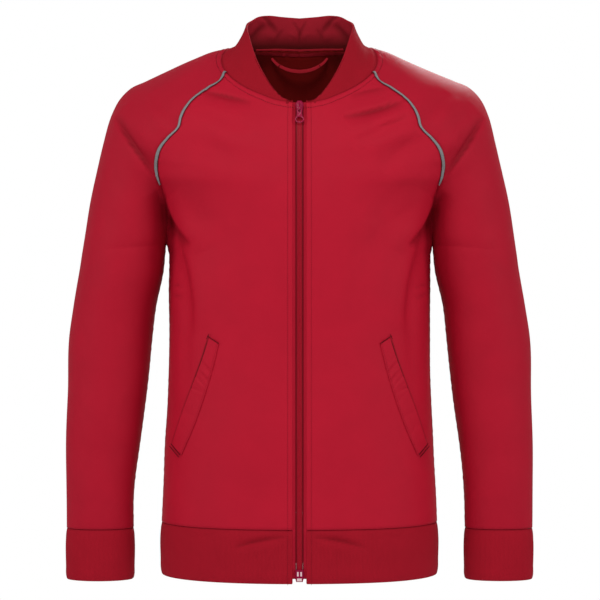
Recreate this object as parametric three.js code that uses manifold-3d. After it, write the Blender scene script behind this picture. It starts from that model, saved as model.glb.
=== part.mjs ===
// A zipped raglan track jacket, filled out as when it is worn, in millimetres.
// X runs across with the wearer's left at +X, the front faces -Y, and Z is up.
// The origin is at the base of the neck, between the shoulders that hold the jacket up.
import * as THREE from "three";
import { mergeVertices } from "three/addons/utils/BufferGeometryUtils.js";
import Module from "manifold-3d";

// Driving sizes of cloth, rib and trim
const CLOTH = 1.4;
const RIB = 2;
const COLLAR_RIB = 3.2;
const SEAM_GAP = 0.3;
const LAY_GAP = 0.45;
const TAPE = 0.8;

// Driving sizes of the closed zip
const ZIP_HALF = 8.7;
const CHAIN_HALF = 4.2;
const CHAIN_SINK = 0.4;
const CHAIN_DEPTH = 2.6;
const TAPE_HALF = 16.5;
const TAPE_BACK = 2.55;
const CHAIN_TOP = -77.5;
const BOX_TOP = -678.7;
const BOX_BOTTOM = -694.2;
const TAPE_FOOT = -690.7;

// How finely the pieces are divided
const SIDE_ROWS = 13;
const RAGLAN_ROWS = 18;
const ARM_ROWS = 13;
const FRONT_COLUMNS = 13;
const BACK_COLUMNS = 9;
const SLEEVE_HALF_COLUMNS = 9;
const TAPE_STEPS = 34;
const CURVE_SEGMENTS = 20;
const COLLAR_ROWS = [0, 0.2, 0.5, 0.8, 1];
// Rows and columns lie closer together towards folds and turns, by these powers
const ROW_POWER = 1.25;
const COLUMN_POWER = 1.15;
const NUDGE = 1e-3;

const table = (columns, rows) => {
  const names = columns.split(" ");
  return rows.map((row) => Object.fromEntries(names.map((name, i) => [name, row[i]])));
};

// The neckline seam on one side, from the zip over the shoulder to the middle of the back
const NECKLINE = table("x y z", [
  [8.7, -97, -77.4],
  [23.9, -94, -75],
  [35.6, -91, -71.9],
  [49, -85, -66.2],
  [64.3, -77, -59.2],
  [79.3, -66, -50.2],
  [97.1, -48, -33.4],
  [101.2, -38, -25.3],
  [103.1, -26, -15.3],
  [102, -15, -6.4],
  [96.5, -4, 1.6],
  [84.4, 13, 5.3],
  [72, 30, 5],
  [62.8, 40, 4],
  [33.2, 52, 3.8],
  [0, 56, 2.7],
]);
const FRONT_CORNER = 6;
const SHOULDER_POINT = 10;
const BACK_CORNER = 13;

// The upper edge of the stand collar, from its tapered end to the middle of the back
const COLLAR_TOP = table("x y z", [
  [9.4, -96.4, -74.9],
  [16.4, -94.4, -73.2],
  [25.2, -89, -66.5],
  [35.7, -80, -53.8],
  [46.3, -68, -36.2],
  [55.6, -54, -16.7],
  [61.9, -38, 1.6],
  [67.5, -20, 21],
  [70.5, -3, 34],
  [70.5, 14, 43],
  [64, 30, 50],
  [48, 44, 53],
  [24, 52.5, 51.5],
  [0, 55, 50.5],
]);

// The raglan seams on one side, from the neckline down to the underarm
const RAGLAN_FRONT = table("x y z", [
  [97.1, -48, -33.4],
  [103, -58, -45.6],
  [120.4, -72, -58.7],
  [141.7, -88, -77],
  [152.9, -97, -95.9],
  [156.5, -101, -110.4],
  [170.9, -98, -125],
  [180.8, -94, -137.6],
  [185.8, -87, -153.3],
  [186.5, -80, -162.1],
  [184, -72, -174.6],
  [180.5, -62, -186],
  [176.5, -43, -208],
  [175, -21, -234],
  [177, -6, -255],
  [177.5, 0, -261],
]);
const RAGLAN_BACK = table("x y z", [
  [62.8, 40, 4],
  [75, 58, -10],
  [96, 76, -32],
  [120, 89, -58],
  [142, 96, -85],
  [160, 97, -112],
  [174, 92, -138],
  [182, 82, -160],
  [184, 68, -181],
  [180, 47, -206],
  [176, 23, -233],
  [177, 6, -255],
  [177.5, 0, -261],
]);

// The side seam, from the rib band up to the underarm
const SIDE_SEAM = table("x y z", [
  [183.3, 0, -627],
  [182, 0, -584],
  [179.3, 0, -528],
  [175.3, 0, -472],
  [173.6, 0, -425],
  [173.6, 0, -378],
  [174, 0, -320],
  [174, 0, -285],
  [174.8, 0, -271],
  [177.5, 0, -261],
]);

// Rows of the front, from the band (0) past the underarm (1) to the neckline (2)
// z and y give the place at the zip; turn is the way the row arrives at its outer edge, in degrees
const FRONT_ROWS = table("at z y turn inner outer lift", [
  [0, -628, -120, 90, 0.62, 0.62, 0],
  [0.3, -516, -121, 90, 0.62, 0.64, 0],
  [0.65, -384, -119, 90, 0.62, 0.66, 0],
  [0.9, -288, -123, 88, 0.62, 0.66, 0],
  [1, -248, -124.5, 84, 0.6, 0.66, 0],
  [1.18, -214, -125, 74, 0.58, 0.6, 0],
  [1.34, -188, -124, 60, 0.5, 0.5, 0],
  [1.5, -164, -121, 24, 0.45, 0.3, 0.1],
  [1.75, -124, -112.5, 30, 0.45, 0.3, 0.3],
  [2, -77.4, -97, 45, 0.45, 0.35, 0.5],
]);
const BACK_ROWS = table("at z y turn inner outer lift", [
  [0, -628, 116, 90, 0.6, 0.62, 0],
  [0.3, -516, 108, 90, 0.6, 0.64, 0],
  [0.5, -440, 103, 90, 0.6, 0.66, 0],
  [0.75, -345, 108, 90, 0.6, 0.66, 0],
  [1, -245, 117, 84, 0.6, 0.66, 0],
  [1.18, -208, 117.5, 74, 0.58, 0.6, 0],
  [1.34, -172, 116, 58, 0.5, 0.5, 0],
  [1.5, -138, 112, 30, 0.45, 0.35, 0.1],
  [1.75, -70, 93, 26, 0.45, 0.3, 0.3],
  [2, 2.7, 56, 40, 0.45, 0.35, 0.5],
]);

// Rows of the sleeve, from the neckline (0) past the underarm (1) to the cuff (2)
// x y z give the line over the shoulder and down the outside of the arm
const SLEEVE_ROWS = table("at x y z turn start finish lift", [
  [0, 96.5, -4, 1.6, 60, 14, 12, 0.5],
  [0.06, 116, 1, -2, 52, 20, 22, 0.5],
  [0.14, 141, 4, -12.5, 42, 26, 32, 0.5],
  [0.24, 172, 6, -26.5, 32, 30, 38, 0.45],
  [0.34, 205, 6, -41, 20, 34, 42, 0.4],
  [0.42, 226, 5, -50.5, 8, 32, 46, 0.3],
  [0.49, 241, 5, -66, -2, 32, 52, 0.2],
  [0.56, 251, 4, -87, -14, 34, 58, 0.15],
  [0.66, 261, 3, -124, -40, 42, 68, 0.1],
  [0.78, 271, 2, -169, -66, 60, 78, 0],
  [0.9, 280.5, 1, -216, -82, 80, 86, 0],
  [1, 289.5, 0, -271, -90, 92, 92, 0],
  [1.062, 291.8, 0, -288, -90, 92, 92, 0],
  [1.212, 300.7, 0, -341, -90, 88, 88, 0],
  [1.313, 306, -1, -378.6, -90, 83, 83, 0],
  [1.513, 308.7, -5, -453, -90, 75, 75, 0],
  [1.714, 310, -9, -528, -90, 66, 66, 0],
  [1.914, 308.7, -13, -602.6, -90, 55, 55, 0],
  [2, 308.7, -14, -634.6, -90, 48, 48, 0],
]);
const ARM_SEAM = table("at x y z", [
  [1, 177.5, 0, -261],
  [1.03, 178.6, 0, -271],
  [1.08, 180.6, 0, -290],
  [1.212, 191.3, 0, -341],
  [1.313, 195.5, -1, -378.6],
  [1.513, 203.3, -5, -453],
  [1.714, 212.7, -9, -528],
  [1.914, 219.3, -13, -602.6],
  [2, 219.3, -14, -634.6],
]);

// Profiles of the rib band and the cuffs: the way down from the seam and out from the cloth
const BAND_PROFILE = table("drop out", [
  [0, 0],
  [3, 0.5],
  [16, 1.6],
  [48, 1.5],
  [66, 0.6],
  [69.6, -0.6],
]);
const CUFF_PROFILE = table("drop out", [
  [0, 0],
  [3, 0.4],
  [16, 1.2],
  [50, 1],
  [65, 0.4],
  [68, -0.6],
]);

// Large folds as seen from the front: a trough has a negative depth, and bow bends its middle sideways
const FRONT_FOLDS = table("x0 z0 x1 z1 bow wide depth", [
  [184, -192, 143, -262, -5, 13, -8],
  [170, -196, 128, -268, -5, 22, 5],
  [166, -240, 142, -380, 6, 11, -5],
  [150, -262, 128, -372, 6, 18, 3],
  [128, -64, 52, -92, 4, 13, -3.4],
  [134, -80, 34, -124, 6, 12, -3.2],
  [150, -100, 62, -158, 8, 15, -2.8],
  [158, -122, 92, -214, 10, 18, -2.4],
  [148, -90, 50, -141, 8, 13, 2.4],
  [238, -99, 192, -166, -3, 9, -5],
  [228, -84, 186, -142, -3, 14, 3.5],
  [250, -130, 206, -196, -4, 12, -3],
  [266, -196, 205, -262, -6, 15, -2.6],
  [296, -330, 226, -388, 6, 17, -3],
  [300, -420, 226, -452, -5, 18, -3.2],
  [298, -520, 232, -548, 4, 15, -2.6],
  [290, -590, 238, -606, 2, 12, -2.2],
  [-184, -192, -143, -262, 5, 13, -8],
  [-170, -196, -128, -268, 5, 22, 5],
  [-166, -240, -142, -380, -6, 11, -5],
  [-150, -262, -128, -372, -6, 18, 3],
  [-118, -60, -86, -63, 1, 8, -3],
  [-140, -82, -72, -112, -5, 13, -2.2],
  [-152, -104, -84, -170, -8, 16, -2.2],
  [-238, -99, -192, -166, 3, 9, -5],
  [-228, -84, -186, -142, 3, 14, 3.5],
  [-252, -134, -210, -200, 4, 12, -3],
  [-262, -190, -205, -256, 6, 15, -2.6],
  [-298, -338, -226, -380, -6, 17, -3],
  [-300, -432, -228, -462, 5, 18, -3.2],
  [-300, -510, -232, -540, -4, 15, -2.6],
  [-288, -592, -238, -604, -2, 12, -2.2],
]);
const BACK_FOLDS = table("x0 z0 x1 z1 bow wide depth", [
  [182, -196, 118, -262, -6, 14, -6],
  [166, -180, 96, -232, -6, 20, 3.6],
  [160, -250, 120, -350, 8, 13, -4],
  [150, -92, 62, -136, 8, 15, -2.8],
  [214, -96, 190, -172, -4, 11, -4.4],
  [262, -200, 206, -264, -6, 15, -3],
  [300, -424, 224, -444, -4, 16, -4],
  [298, -462, 222, -474, 3, 15, -3.4],
  [296, -540, 230, -560, 4, 15, -2.6],
  [150, -440, 40, -424, 6, 18, -3.6],
  [-182, -200, -112, -270, 6, 14, -6],
  [-166, -184, -90, -238, 6, 20, 3.6],
  [-162, -244, -124, -344, -8, 13, -4],
  [-148, -96, -58, -142, -8, 15, -2.8],
  [-216, -100, -192, -170, 4, 11, -4.4],
  [-260, -206, -206, -262, 6, 15, -3],
  [-300, -416, -226, -438, 4, 16, -4],
  [-298, -456, -224, -470, -3, 15, -3.4],
  [-294, -548, -230, -562, -4, 15, -2.6],
  [-146, -462, -20, -452, -6, 18, -3.6],
]);
// Folds fade out towards the side seams and the outside of the arms, over this depth in Y
const FOLD_FADE = 34;

// The slanted pocket welts as seen from the front, from the upper to the lower end
const WELT = table("at openX openZ stitchX stitchZ", [
  [0, 116.2, -382.8, 103.3, -388.5],
  [0.2, 125, -411, 111, -420],
  [0.45, 138, -446, 122, -457],
  [0.7, 151, -480, 135, -494],
  [1, 166, -524, 153, -535.5],
]);
const WELT_ROWS = 12;
const WELT_COLUMNS = 3;
const WELT_WALL = 1.8;

// Piping along the front raglan seams, down to where the fold at the underarm hides it
const PIPING_ROWS = 12;
const PIPING_START = 0.08;
// Where the seam sinks into the fold, the piping stands further out of it
const PIPING_FOLD_LIFT = 1.8;
const PIPING_LIFT_POWER = 8;
const PIPING_SECTION = [
  [-1, 0.7],
  [1, 0.7],
  [2, 1.6],
  [1.1, 2.6],
  [-1.1, 2.6],
  [-2, 1.6],
];

// The slider, with its pull tab hung on a bridge. Across, then out of the zip, then up along it,
// from the middle of the bar that the tab turns on.
const PULL_AT = -88.5;
const PLATE_OUT = 1.7;
const PLATE_THICK = 1.8;
const PLATE_OUTLINE = [
  [2.4, 12.6],
  [4.4, 9.6],
  [5.2, 6.6],
  [4.6, 3.4],
  [3.9, 0],
  [3.6, -3.6],
  [2.6, -4.6],
];
const BRIDGE_HALF = 1;
const BRIDGE_OUTER = [
  [1.6, -2.6],
  [3.6, -2.5],
  [4.8, -1.8],
  [5.2, -0.4],
  [5, 2.4],
  [4.2, 6.6],
  [1.6, 10],
];
const BRIDGE_INNER = [
  [1.6, 7.6],
  [3.2, 6],
  [4, 2.4],
  [4.2, 0.6],
  [4.1, -0.7],
  [3.2, -1.3],
  [1.6, -1.4],
];
const BAR_OUT = 3.1;
const TAB_THICK = 1.2;
const TAB_HALF = 3.7;
const TAB_TOP = 0.6;
const TAB_BEVEL = 0.8;
const TAB_WAIST = 3.2;
const TAB_SLOT = { half: 1.5, top: -0.6, bottom: -3.9 };
const RING = { at: -14.3, across: 5.8, along: 4.8, holeAcross: 4.2, holeAlong: 3.3 };
// The tab's neck meets the ring at this share of its half width
const RING_SHARE = 0.7;

// The box at the foot of the zip
const BOX_OUTLINE = [
  [4.9, 15.5],
  [5.2, 13],
  [5.2, 4],
  [4.2, 0],
];
const BOX_FRONT = 1.4;
const BOX_REAR = -2;

// The tape over the back neck seam, and the loop that the jacket hangs by
const NECK_TAPE_TOP = 1;
const NECK_TAPE_FOOT = 6.2;
const LOOP_HALF_WIDE = 1.7;
const LOOP_HALF_THICK = 0.6;
const LOOP_SLACK = 0.9;
const LOOP_END = { x: 38, z: -5 };
const LOOP_STEPS = 16;
const LOOP_PATH = table("x ahead z", [
  [38, 0, -5],
  [33, 0.6, -11],
  [25, 1.8, -16.8],
  [13, 3.4, -21.8],
  [0, 4, -23.6],
]);

// Smooth runs through tables
function withChords(rows) {
  let run = 0;
  const places = rows.map((row, i) => {
    const before = rows[Math.max(i - 1, 0)];
    run += Math.hypot(row.x - before.x, row.y - before.y, row.z - before.z);
    return run;
  });
  return rows.map((row, i) => ({ at: places[i] / run, ...row }));
}

function smoothRun(rows) {
  const names = Object.keys(rows[0]).filter((name) => name !== "at");
  const last = rows.length - 1;
  const gap = (i) => rows[i + 1].at - rows[i].at;
  const rate = (i, name) => (rows[i + 1][name] - rows[i][name]) / gap(i);
  const slope = (i, name) => {
    if (i === 0) return rate(0, name);
    if (i === last) return rate(last - 1, name);
    return (rate(i - 1, name) * gap(i) + rate(i, name) * gap(i - 1)) / (gap(i - 1) + gap(i));
  };
  return (at) => {
    let i = 0;
    while (i < last - 1 && at > rows[i + 1].at) i += 1;
    const t = (at - rows[i].at) / gap(i);
    const value = (name) => {
      const from = rows[i][name];
      const to = rows[i + 1][name];
      const leave = slope(i, name) * gap(i);
      const arrive = slope(i + 1, name) * gap(i);
      return (
        from +
        t * leave +
        t * t * (3 * (to - from) - 2 * leave - arrive) +
        t * t * t * (2 * (from - to) + leave + arrive)
      );
    };
    return Object.fromEntries(names.map((name) => [name, value(name)]));
  };
}

const vector = (p) => new THREE.Vector3(p.x, p.y, p.z);
const ease = (t) => {
  const c = Math.min(Math.max(t, 0), 1);
  return c * c * (3 - 2 * c);
};
const bezier = (a, b, c, d, s) =>
  new THREE.Vector3()
    .addScaledVector(a, (1 - s) ** 3)
    .addScaledVector(b, 3 * (1 - s) ** 2 * s)
    .addScaledVector(c, 3 * (1 - s) * s * s)
    .addScaledVector(d, s ** 3);

const neckTable = withChords(NECKLINE);
const neckline = smoothRun(neckTable);
const neckAt = (index) => neckTable[index].at;
const collarTop = smoothRun(withChords(COLLAR_TOP));
const raglanFront = smoothRun(withChords(RAGLAN_FRONT));
const raglanBack = smoothRun(withChords(RAGLAN_BACK));
const sideSeam = smoothRun(withChords(SIDE_SEAM));
const frontRow = smoothRun(FRONT_ROWS);
const backRow = smoothRun(BACK_ROWS);
const sleeveRow = smoothRun(SLEEVE_ROWS);
const armSeam = smoothRun(ARM_SEAM);

// A point of the neckline between two of its marked places
const necklinePart = (from, to, s) =>
  vector(neckline(neckAt(from) + (neckAt(to) - neckAt(from)) * s));
// How far the exact neckline still draws the rows near it
const NECK_REACH = 0.22;

// A row of the front or back as one arc: s runs from the middle to the outer edge,
// and v from the band to the neckline
function torsoArc(s, v, isFront) {
  const face = isFront ? -1 : 1;
  const row = isFront ? frontRow(v) : backRow(v);
  const raglan = isFront ? raglanFront : raglanBack;
  const middle = new THREE.Vector3(isFront ? ZIP_HALF : 0, row.y, row.z);
  const edge = vector(v <= 1 ? sideSeam(v) : raglan(2 - v));
  const turn = THREE.MathUtils.degToRad(row.turn);
  const across = edge.x - middle.x;
  const deep = edge.y - middle.y;
  const pull = row.outer * Math.hypot(across * Math.cos(turn), deep * Math.sin(turn));
  const first = new THREE.Vector3(middle.x + row.inner * across, middle.y, middle.z);
  const second = new THREE.Vector3(
    edge.x - pull * Math.cos(turn),
    edge.y + face * pull * Math.sin(turn),
    edge.z - row.lift * (edge.z - middle.z),
  );
  return bezier(middle, first, second, edge, s);
}

// The same place, with the rows near the neck drawn to the neckline
function torsoPoint(s, v, isFront) {
  const point = torsoArc(s, v, isFront);
  const near = ease(1 - (2 - v) / NECK_REACH);
  if (near === 0) return point;
  const top = isFront
    ? necklinePart(0, FRONT_CORNER, s)
    : necklinePart(NECKLINE.length - 1, BACK_CORNER, s);
  return point.addScaledVector(top.sub(torsoArc(s, 2, isFront)), near);
}

// A point of a sleeve half: s runs from the inner edge to the line down the outside
function sleeveArc(s, t, isFront) {
  const face = isFront ? -1 : 1;
  const row = sleeveRow(t);
  const outside = vector(row);
  const inside = vector(t <= 1 ? (isFront ? raglanFront : raglanBack)(t) : armSeam(t));
  const turn = THREE.MathUtils.degToRad(row.turn);
  const first = new THREE.Vector3(
    inside.x + row.start * Math.cos(turn),
    inside.y - face * row.start * Math.sin(turn),
    inside.z + row.lift * (outside.z - inside.z),
  );
  const second = new THREE.Vector3(outside.x, outside.y + face * row.finish, outside.z);
  return bezier(inside, first, second, outside, s);
}

function sleevePoint(s, t, isFront) {
  const point = sleeveArc(s, t, isFront);
  const near = ease(1 - t / NECK_REACH);
  if (near === 0) return point;
  const top = isFront
    ? necklinePart(FRONT_CORNER, SHOULDER_POINT, s)
    : necklinePart(BACK_CORNER, SHOULDER_POINT, s);
  return point.addScaledVector(top.sub(sleeveArc(s, 0, isFront)), near);
}

// Grids of outer points. Each has rows of vectors, the sign that turns its normals outward,
// whether it closes round, and the row from which its side edges are joined, if any.
const spaced = (count) => Array.from({ length: count + 1 }, (_, i) => i / count);
const mirrored = (point) => new THREE.Vector3(-point.x, point.y, point.z);
// Rows lie closer together near the underarm, where the folds are
const torsoStations = [
  ...spaced(SIDE_ROWS).map((u) => 1 - (1 - u) ** ROW_POWER),
  ...spaced(RAGLAN_ROWS).slice(1).map((u) => 1 + u),
];
const sleeveStations = [
  ...spaced(RAGLAN_ROWS),
  ...spaced(ARM_ROWS).slice(1).map((u) => 1 + u ** ROW_POWER),
];
// Columns lie closer together near the outer edge, where the cloth turns round the body
const torsoColumns = (count) => spaced(count).map((u) => 1 - (1 - u) ** COLUMN_POWER);

function frontGrid(side) {
  const rows = torsoStations.map((v) =>
    torsoColumns(FRONT_COLUMNS).map((s) => torsoPoint(s, v, true)),
  );
  return { rows: side > 0 ? rows : rows.map((row) => row.map(mirrored)), sign: side };
}

function backGrid() {
  const columns = torsoColumns(BACK_COLUMNS);
  const rows = torsoStations.map((v) => {
    const half = columns.map((s) => torsoPoint(s, v, false));
    return [...half.slice(1).reverse(), ...half.map(mirrored)];
  });
  return { rows, sign: 1 };
}

function sleeveGrid(side) {
  const rows = sleeveStations.map((t) => {
    const front = spaced(SLEEVE_HALF_COLUMNS).map((s) => sleevePoint(s, t, true));
    const back = spaced(SLEEVE_HALF_COLUMNS).map((s) => sleevePoint(1 - s, t, false));
    return [...front, ...back.slice(1)];
  });
  return {
    rows: side > 0 ? rows : rows.map((row) => row.map(mirrored)),
    sign: -side,
    joinedFrom: RAGLAN_ROWS,
  };
}

function collarGrid() {
  const half = [
    ...spaced(FRONT_COLUMNS).map((s) => s * neckAt(FRONT_CORNER)),
    ...spaced(SLEEVE_HALF_COLUMNS)
      .slice(1)
      .map((s) => neckAt(FRONT_CORNER) + s * (neckAt(BACK_CORNER) - neckAt(FRONT_CORNER))),
    ...torsoColumns(BACK_COLUMNS)
      .reverse()
      .slice(1)
      .map((s) => 1 + s * (neckAt(BACK_CORNER) - 1)),
  ];
  const rows = COLLAR_ROWS.map((w) => {
    const left = half.map((u) => {
      const base = vector(neckline(u));
      const top = vector(collarTop(u));
      return base.lerp(top, w);
    });
    return [...left, ...left.slice(0, -1).reverse().map(mirrored)];
  });
  return { rows, sign: 1 };
}

// A ring that hangs from a seam row, with a profile
function ribGrid(seam, profile, sign, isRound) {
  const count = seam.length;
  const outward = seam.map((point, i) => {
    const before = seam[isRound ? (i + count - 1) % count : Math.max(i - 1, 0)];
    const after = seam[isRound ? (i + 1) % count : Math.min(i + 1, count - 1)];
    return new THREE.Vector3(after.y - before.y, before.x - after.x, 0).normalize();
  });
  const rows = profile.map(({ drop, out }) =>
    seam.map(
      (point, i) =>
        new THREE.Vector3(
          point.x + sign * outward[i].x * out,
          point.y + sign * outward[i].y * out,
          point.z - drop,
        ),
    ),
  );
  return { rows, sign: -sign, isRound };
}

// Outward normals, shared by all the grids that meet at a place
const keyOf = (p) => [p.x, p.y, p.z].map((c) => Math.round(c / NUDGE)).join(" ");

function gridNormals(grid) {
  const { rows, sign, isRound, joinedFrom } = grid;
  const last = rows.length - 1;
  return rows.map((row, i) =>
    row.map((point, j) => {
      const end = row.length - 1;
      const isJoined = isRound || (joinedFrom !== undefined && i > joinedFrom);
      const step = isRound ? 0 : 1;
      const before = j > 0 ? row[j - 1] : isJoined ? row[end - step] : row[0];
      const after = j < end ? row[j + 1] : isJoined ? row[step] : row[end];
      const down = rows[Math.max(i - 1, 0)][j];
      const up = rows[Math.min(i + 1, last)][j];
      return after.clone().sub(before).cross(up.clone().sub(down)).multiplyScalar(sign);
    }),
  );
}

function shareNormals(grids) {
  const sums = new Map();
  const own = grids.map(gridNormals);
  grids.forEach((grid, g) =>
    grid.rows.forEach((row, i) =>
      row.forEach((point, j) => {
        const key = keyOf(point);
        if (!sums.has(key)) sums.set(key, new THREE.Vector3());
        sums.get(key).add(own[g][i][j].clone().normalize());
      }),
    ),
  );
  grids.forEach((grid) => {
    grid.normals = grid.rows.map((row) =>
      row.map((point) => sums.get(keyOf(point)).clone().normalize()),
    );
  });
}

// The height of all folds at a place seen from the front or from behind. Each swells from
// nothing at its ends.
const SWELL_POWER = 0.7;
function foldHeight(x, z, folds) {
  return folds.reduce((sum, fold) => {
    const runX = fold.x1 - fold.x0;
    const runZ = fold.z1 - fold.z0;
    const long = Math.hypot(runX, runZ);
    const along = ((x - fold.x0) * runX + (z - fold.z0) * runZ) / long ** 2;
    if (along <= 0 || along >= 1) return sum;
    const aside = ((x - fold.x0) * runZ - (z - fold.z0) * runX) / long;
    const bent = aside - fold.bow * Math.sin(Math.PI * along);
    const swell = Math.sin(Math.PI * along) ** SWELL_POWER;
    return sum + fold.depth * swell * Math.exp(-((bent / fold.wide) ** 2));
  }, 0);
}

function addFolds(grids) {
  grids.forEach((grid) => {
    grid.rows = grid.rows.map((row, i) =>
      row.map((point, j) => {
        const folds = point.y < 0 ? FRONT_FOLDS : BACK_FOLDS;
        const height = foldHeight(point.x, point.z, folds) * ease(Math.abs(point.y) / FOLD_FADE);
        return point.clone().addScaledVector(grid.normals[i][j], height);
      }),
    );
  });
}

// Solids
const positionsOf = (triangles) => {
  const geometry = new THREE.BufferGeometry();
  geometry.setAttribute("position", new THREE.Float32BufferAttribute(triangles.flat(2), 3));
  return geometry;
};

function outwardGeometry(corners) {
  const volume = corners.reduce((sum, [a, b, c]) => sum + a.dot(b.clone().cross(c)), 0);
  const faces = volume < 0 ? corners.map(([a, b, c]) => [a, c, b]) : corners;
  const geometry = mergeVertices(
    positionsOf(faces.map((face) => face.map((p) => [p.x, p.y, p.z]))),
    NUDGE,
  );
  geometry.computeVertexNormals();
  return geometry;
}

// The wall between a grid's outer points and the same points moved inward
function wall(grid, thick, lift = 0) {
  const { isRound, joinedFrom } = grid;
  const last = grid.rows.length - 1;
  const end = grid.rows[0].length - 1;
  const isOpenSide = (i) => !isRound && (joinedFrom === undefined || i < joinedFrom);
  const outer = grid.rows.map((row, i) =>
    row.map((point, j) => {
      const moved = point.clone();
      const towards = (other) =>
        moved.addScaledVector(other.clone().sub(point).normalize(), SEAM_GAP / 2);
      if (i === 0) towards(grid.rows[1][j]);
      if (i === last) towards(grid.rows[last - 1][j]);
      if (i === joinedFrom && (j === 0 || j === end)) towards(grid.rows[i + 1][j]);
      if (isOpenSide(i) && j === 0) towards(row[1]);
      if (isOpenSide(i) && j === end) towards(row[end - 1]);
      return moved.addScaledVector(grid.normals[i][j], lift);
    }),
  );
  const inner = outer.map((row, i) =>
    row.map((point, j) => point.clone().addScaledVector(grid.normals[i][j], -thick)),
  );
  const corners = [];
  const quad = (a, b, c, d) => corners.push([a, b, c], [a, c, d]);
  const columns = isRound ? end + 1 : end;
  const next = (j) => (j + 1) % (end + 1);
  for (let i = 0; i < last; i += 1) {
    for (let j = 0; j < columns; j += 1) {
      const k = next(j);
      quad(outer[i][j], outer[i][k], outer[i + 1][k], outer[i + 1][j]);
      quad(inner[i][j], inner[i + 1][j], inner[i + 1][k], inner[i][k]);
    }
    if (isOpenSide(i)) {
      quad(outer[i][0], outer[i + 1][0], inner[i + 1][0], inner[i][0]);
      quad(outer[i][end], inner[i][end], inner[i + 1][end], outer[i + 1][end]);
    }
  }
  for (let j = 0; j < columns; j += 1) {
    const k = next(j);
    quad(outer[0][j], inner[0][j], inner[0][k], outer[0][k]);
    quad(outer[last][j], outer[last][k], inner[last][k], inner[last][j]);
  }
  return outwardGeometry(corners);
}

// The cloth pieces and their seams
const front = { left: frontGrid(1), right: frontGrid(-1) };
const back = backGrid();
const sleeve = { left: sleeveGrid(1), right: sleeveGrid(-1) };
const collar = collarGrid();
const clothGrids = [front.left, front.right, back, sleeve.left, sleeve.right];

shareNormals([...clothGrids, collar]);
addFolds([...clothGrids, collar]);

const hemSeam = [
  ...front.left.rows[0],
  ...back.rows[0].slice(1, -1),
  ...front.right.rows[0].slice().reverse(),
];
const band = ribGrid(hemSeam, BAND_PROFILE, 1, false);
const cuffSeam = (grid) => grid.rows[grid.rows.length - 1].slice(0, -1);
const cuff = {
  left: ribGrid(cuffSeam(sleeve.left), CUFF_PROFILE, 1, true),
  right: ribGrid(cuffSeam(sleeve.right), CUFF_PROFILE, -1, true),
};
shareNormals([...clothGrids, collar, band, cuff.left, cuff.right]);

// A place of the front or back at a given x and z, found by stepping s and v towards it
const FIRST_GUESS = { front: 0.6, back: 1.9 };
const NEWTON_STEPS = 14;
function onTorso(x, z, isFront) {
  let s = 0.5;
  let v = isFront ? FIRST_GUESS.front : FIRST_GUESS.back;
  const spot = () => {
    const here = torsoPoint(s, v, isFront);
    const bySide = torsoPoint(s + NUDGE, v, isFront).sub(here).divideScalar(NUDGE);
    const byRow = torsoPoint(s, v - NUDGE, isFront).sub(here).divideScalar(-NUDGE);
    return { here, bySide, byRow };
  };
  for (let step = 0; step < NEWTON_STEPS; step += 1) {
    const { here, bySide, byRow } = spot();
    const det = bySide.x * byRow.z - bySide.z * byRow.x;
    const offX = x - here.x;
    const offZ = z - here.z;
    s = Math.min(Math.max(s + (offX * byRow.z - offZ * byRow.x) / det, 0), 1);
    v = Math.min(Math.max(v + (bySide.x * offZ - bySide.z * offX) / det, 0), 2);
  }
  const { here, bySide, byRow } = spot();
  const normal = bySide.cross(byRow).normalize();
  return { point: here, normal: isFront ? normal : normal.negate() };
}

// A welt lies on the panel's own points, moved out
function weltGrid(side) {
  const edge = smoothRun(WELT);
  const rows = [];
  const normals = [];
  spaced(WELT_ROWS).forEach((u) => {
    const { openX, openZ, stitchX, stitchZ } = edge(u);
    const places = spaced(WELT_COLUMNS).map((w) => {
      const x = stitchX + (openX - stitchX) * w;
      const z = stitchZ + (openZ - stitchZ) * w;
      const { point, normal } = onTorso(x, z, true);
      const folds = foldHeight(side * point.x, point.z, FRONT_FOLDS);
      const height = folds * ease(Math.abs(point.y) / FOLD_FADE) + LAY_GAP + WELT_WALL;
      point.addScaledVector(normal, height);
      return side > 0 ? { point, normal } : { point: mirrored(point), normal: mirrored(normal) };
    });
    rows.push(places.map((place) => place.point));
    normals.push(places.map((place) => place.normal));
  });
  return { rows, normals };
}

// A strip with a closed section carried along stations, each with a place and two directions
function carried(stations, section) {
  const rings = stations.map(({ place, aside, out }) =>
    section.map(([a, b]) => place.clone().addScaledVector(aside, a).addScaledVector(out, b)),
  );
  const corners = [];
  const count = section.length;
  for (let i = 0; i < rings.length - 1; i += 1) {
    for (let j = 0; j < count; j += 1) {
      const k = (j + 1) % count;
      corners.push([rings[i][j], rings[i][k], rings[i + 1][k]]);
      corners.push([rings[i][j], rings[i + 1][k], rings[i + 1][j]]);
    }
  }
  const final = rings[rings.length - 1];
  for (let j = 1; j < count - 1; j += 1) {
    corners.push([rings[0][0], rings[0][j + 1], rings[0][j]]);
    corners.push([final[0], final[j], final[j + 1]]);
  }
  return outwardGeometry(corners);
}

// Piping stands on the raglan seam, from the grid of the front whose edge is that seam
function pipingStations(grid) {
  const end = grid.rows[0].length - 1;
  const seam = grid.rows.map((row, i) => ({ place: row[end].clone(), out: grid.normals[i][end] }));
  const run = seam.slice(SIDE_ROWS).reverse().slice(0, PIPING_ROWS + 1);
  run[0].place.lerp(run[1].place, PIPING_START);
  return run.map(({ place, out }, i) => {
    const before = run[Math.max(i - 1, 0)].place;
    const after = run[Math.min(i + 1, PIPING_ROWS)].place;
    const aside = after.clone().sub(before).cross(out).normalize();
    const lift = PIPING_FOLD_LIFT * (i / PIPING_ROWS) ** PIPING_LIFT_POWER;
    return { place: place.clone().addScaledVector(out, lift), aside, out };
  });
}

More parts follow.
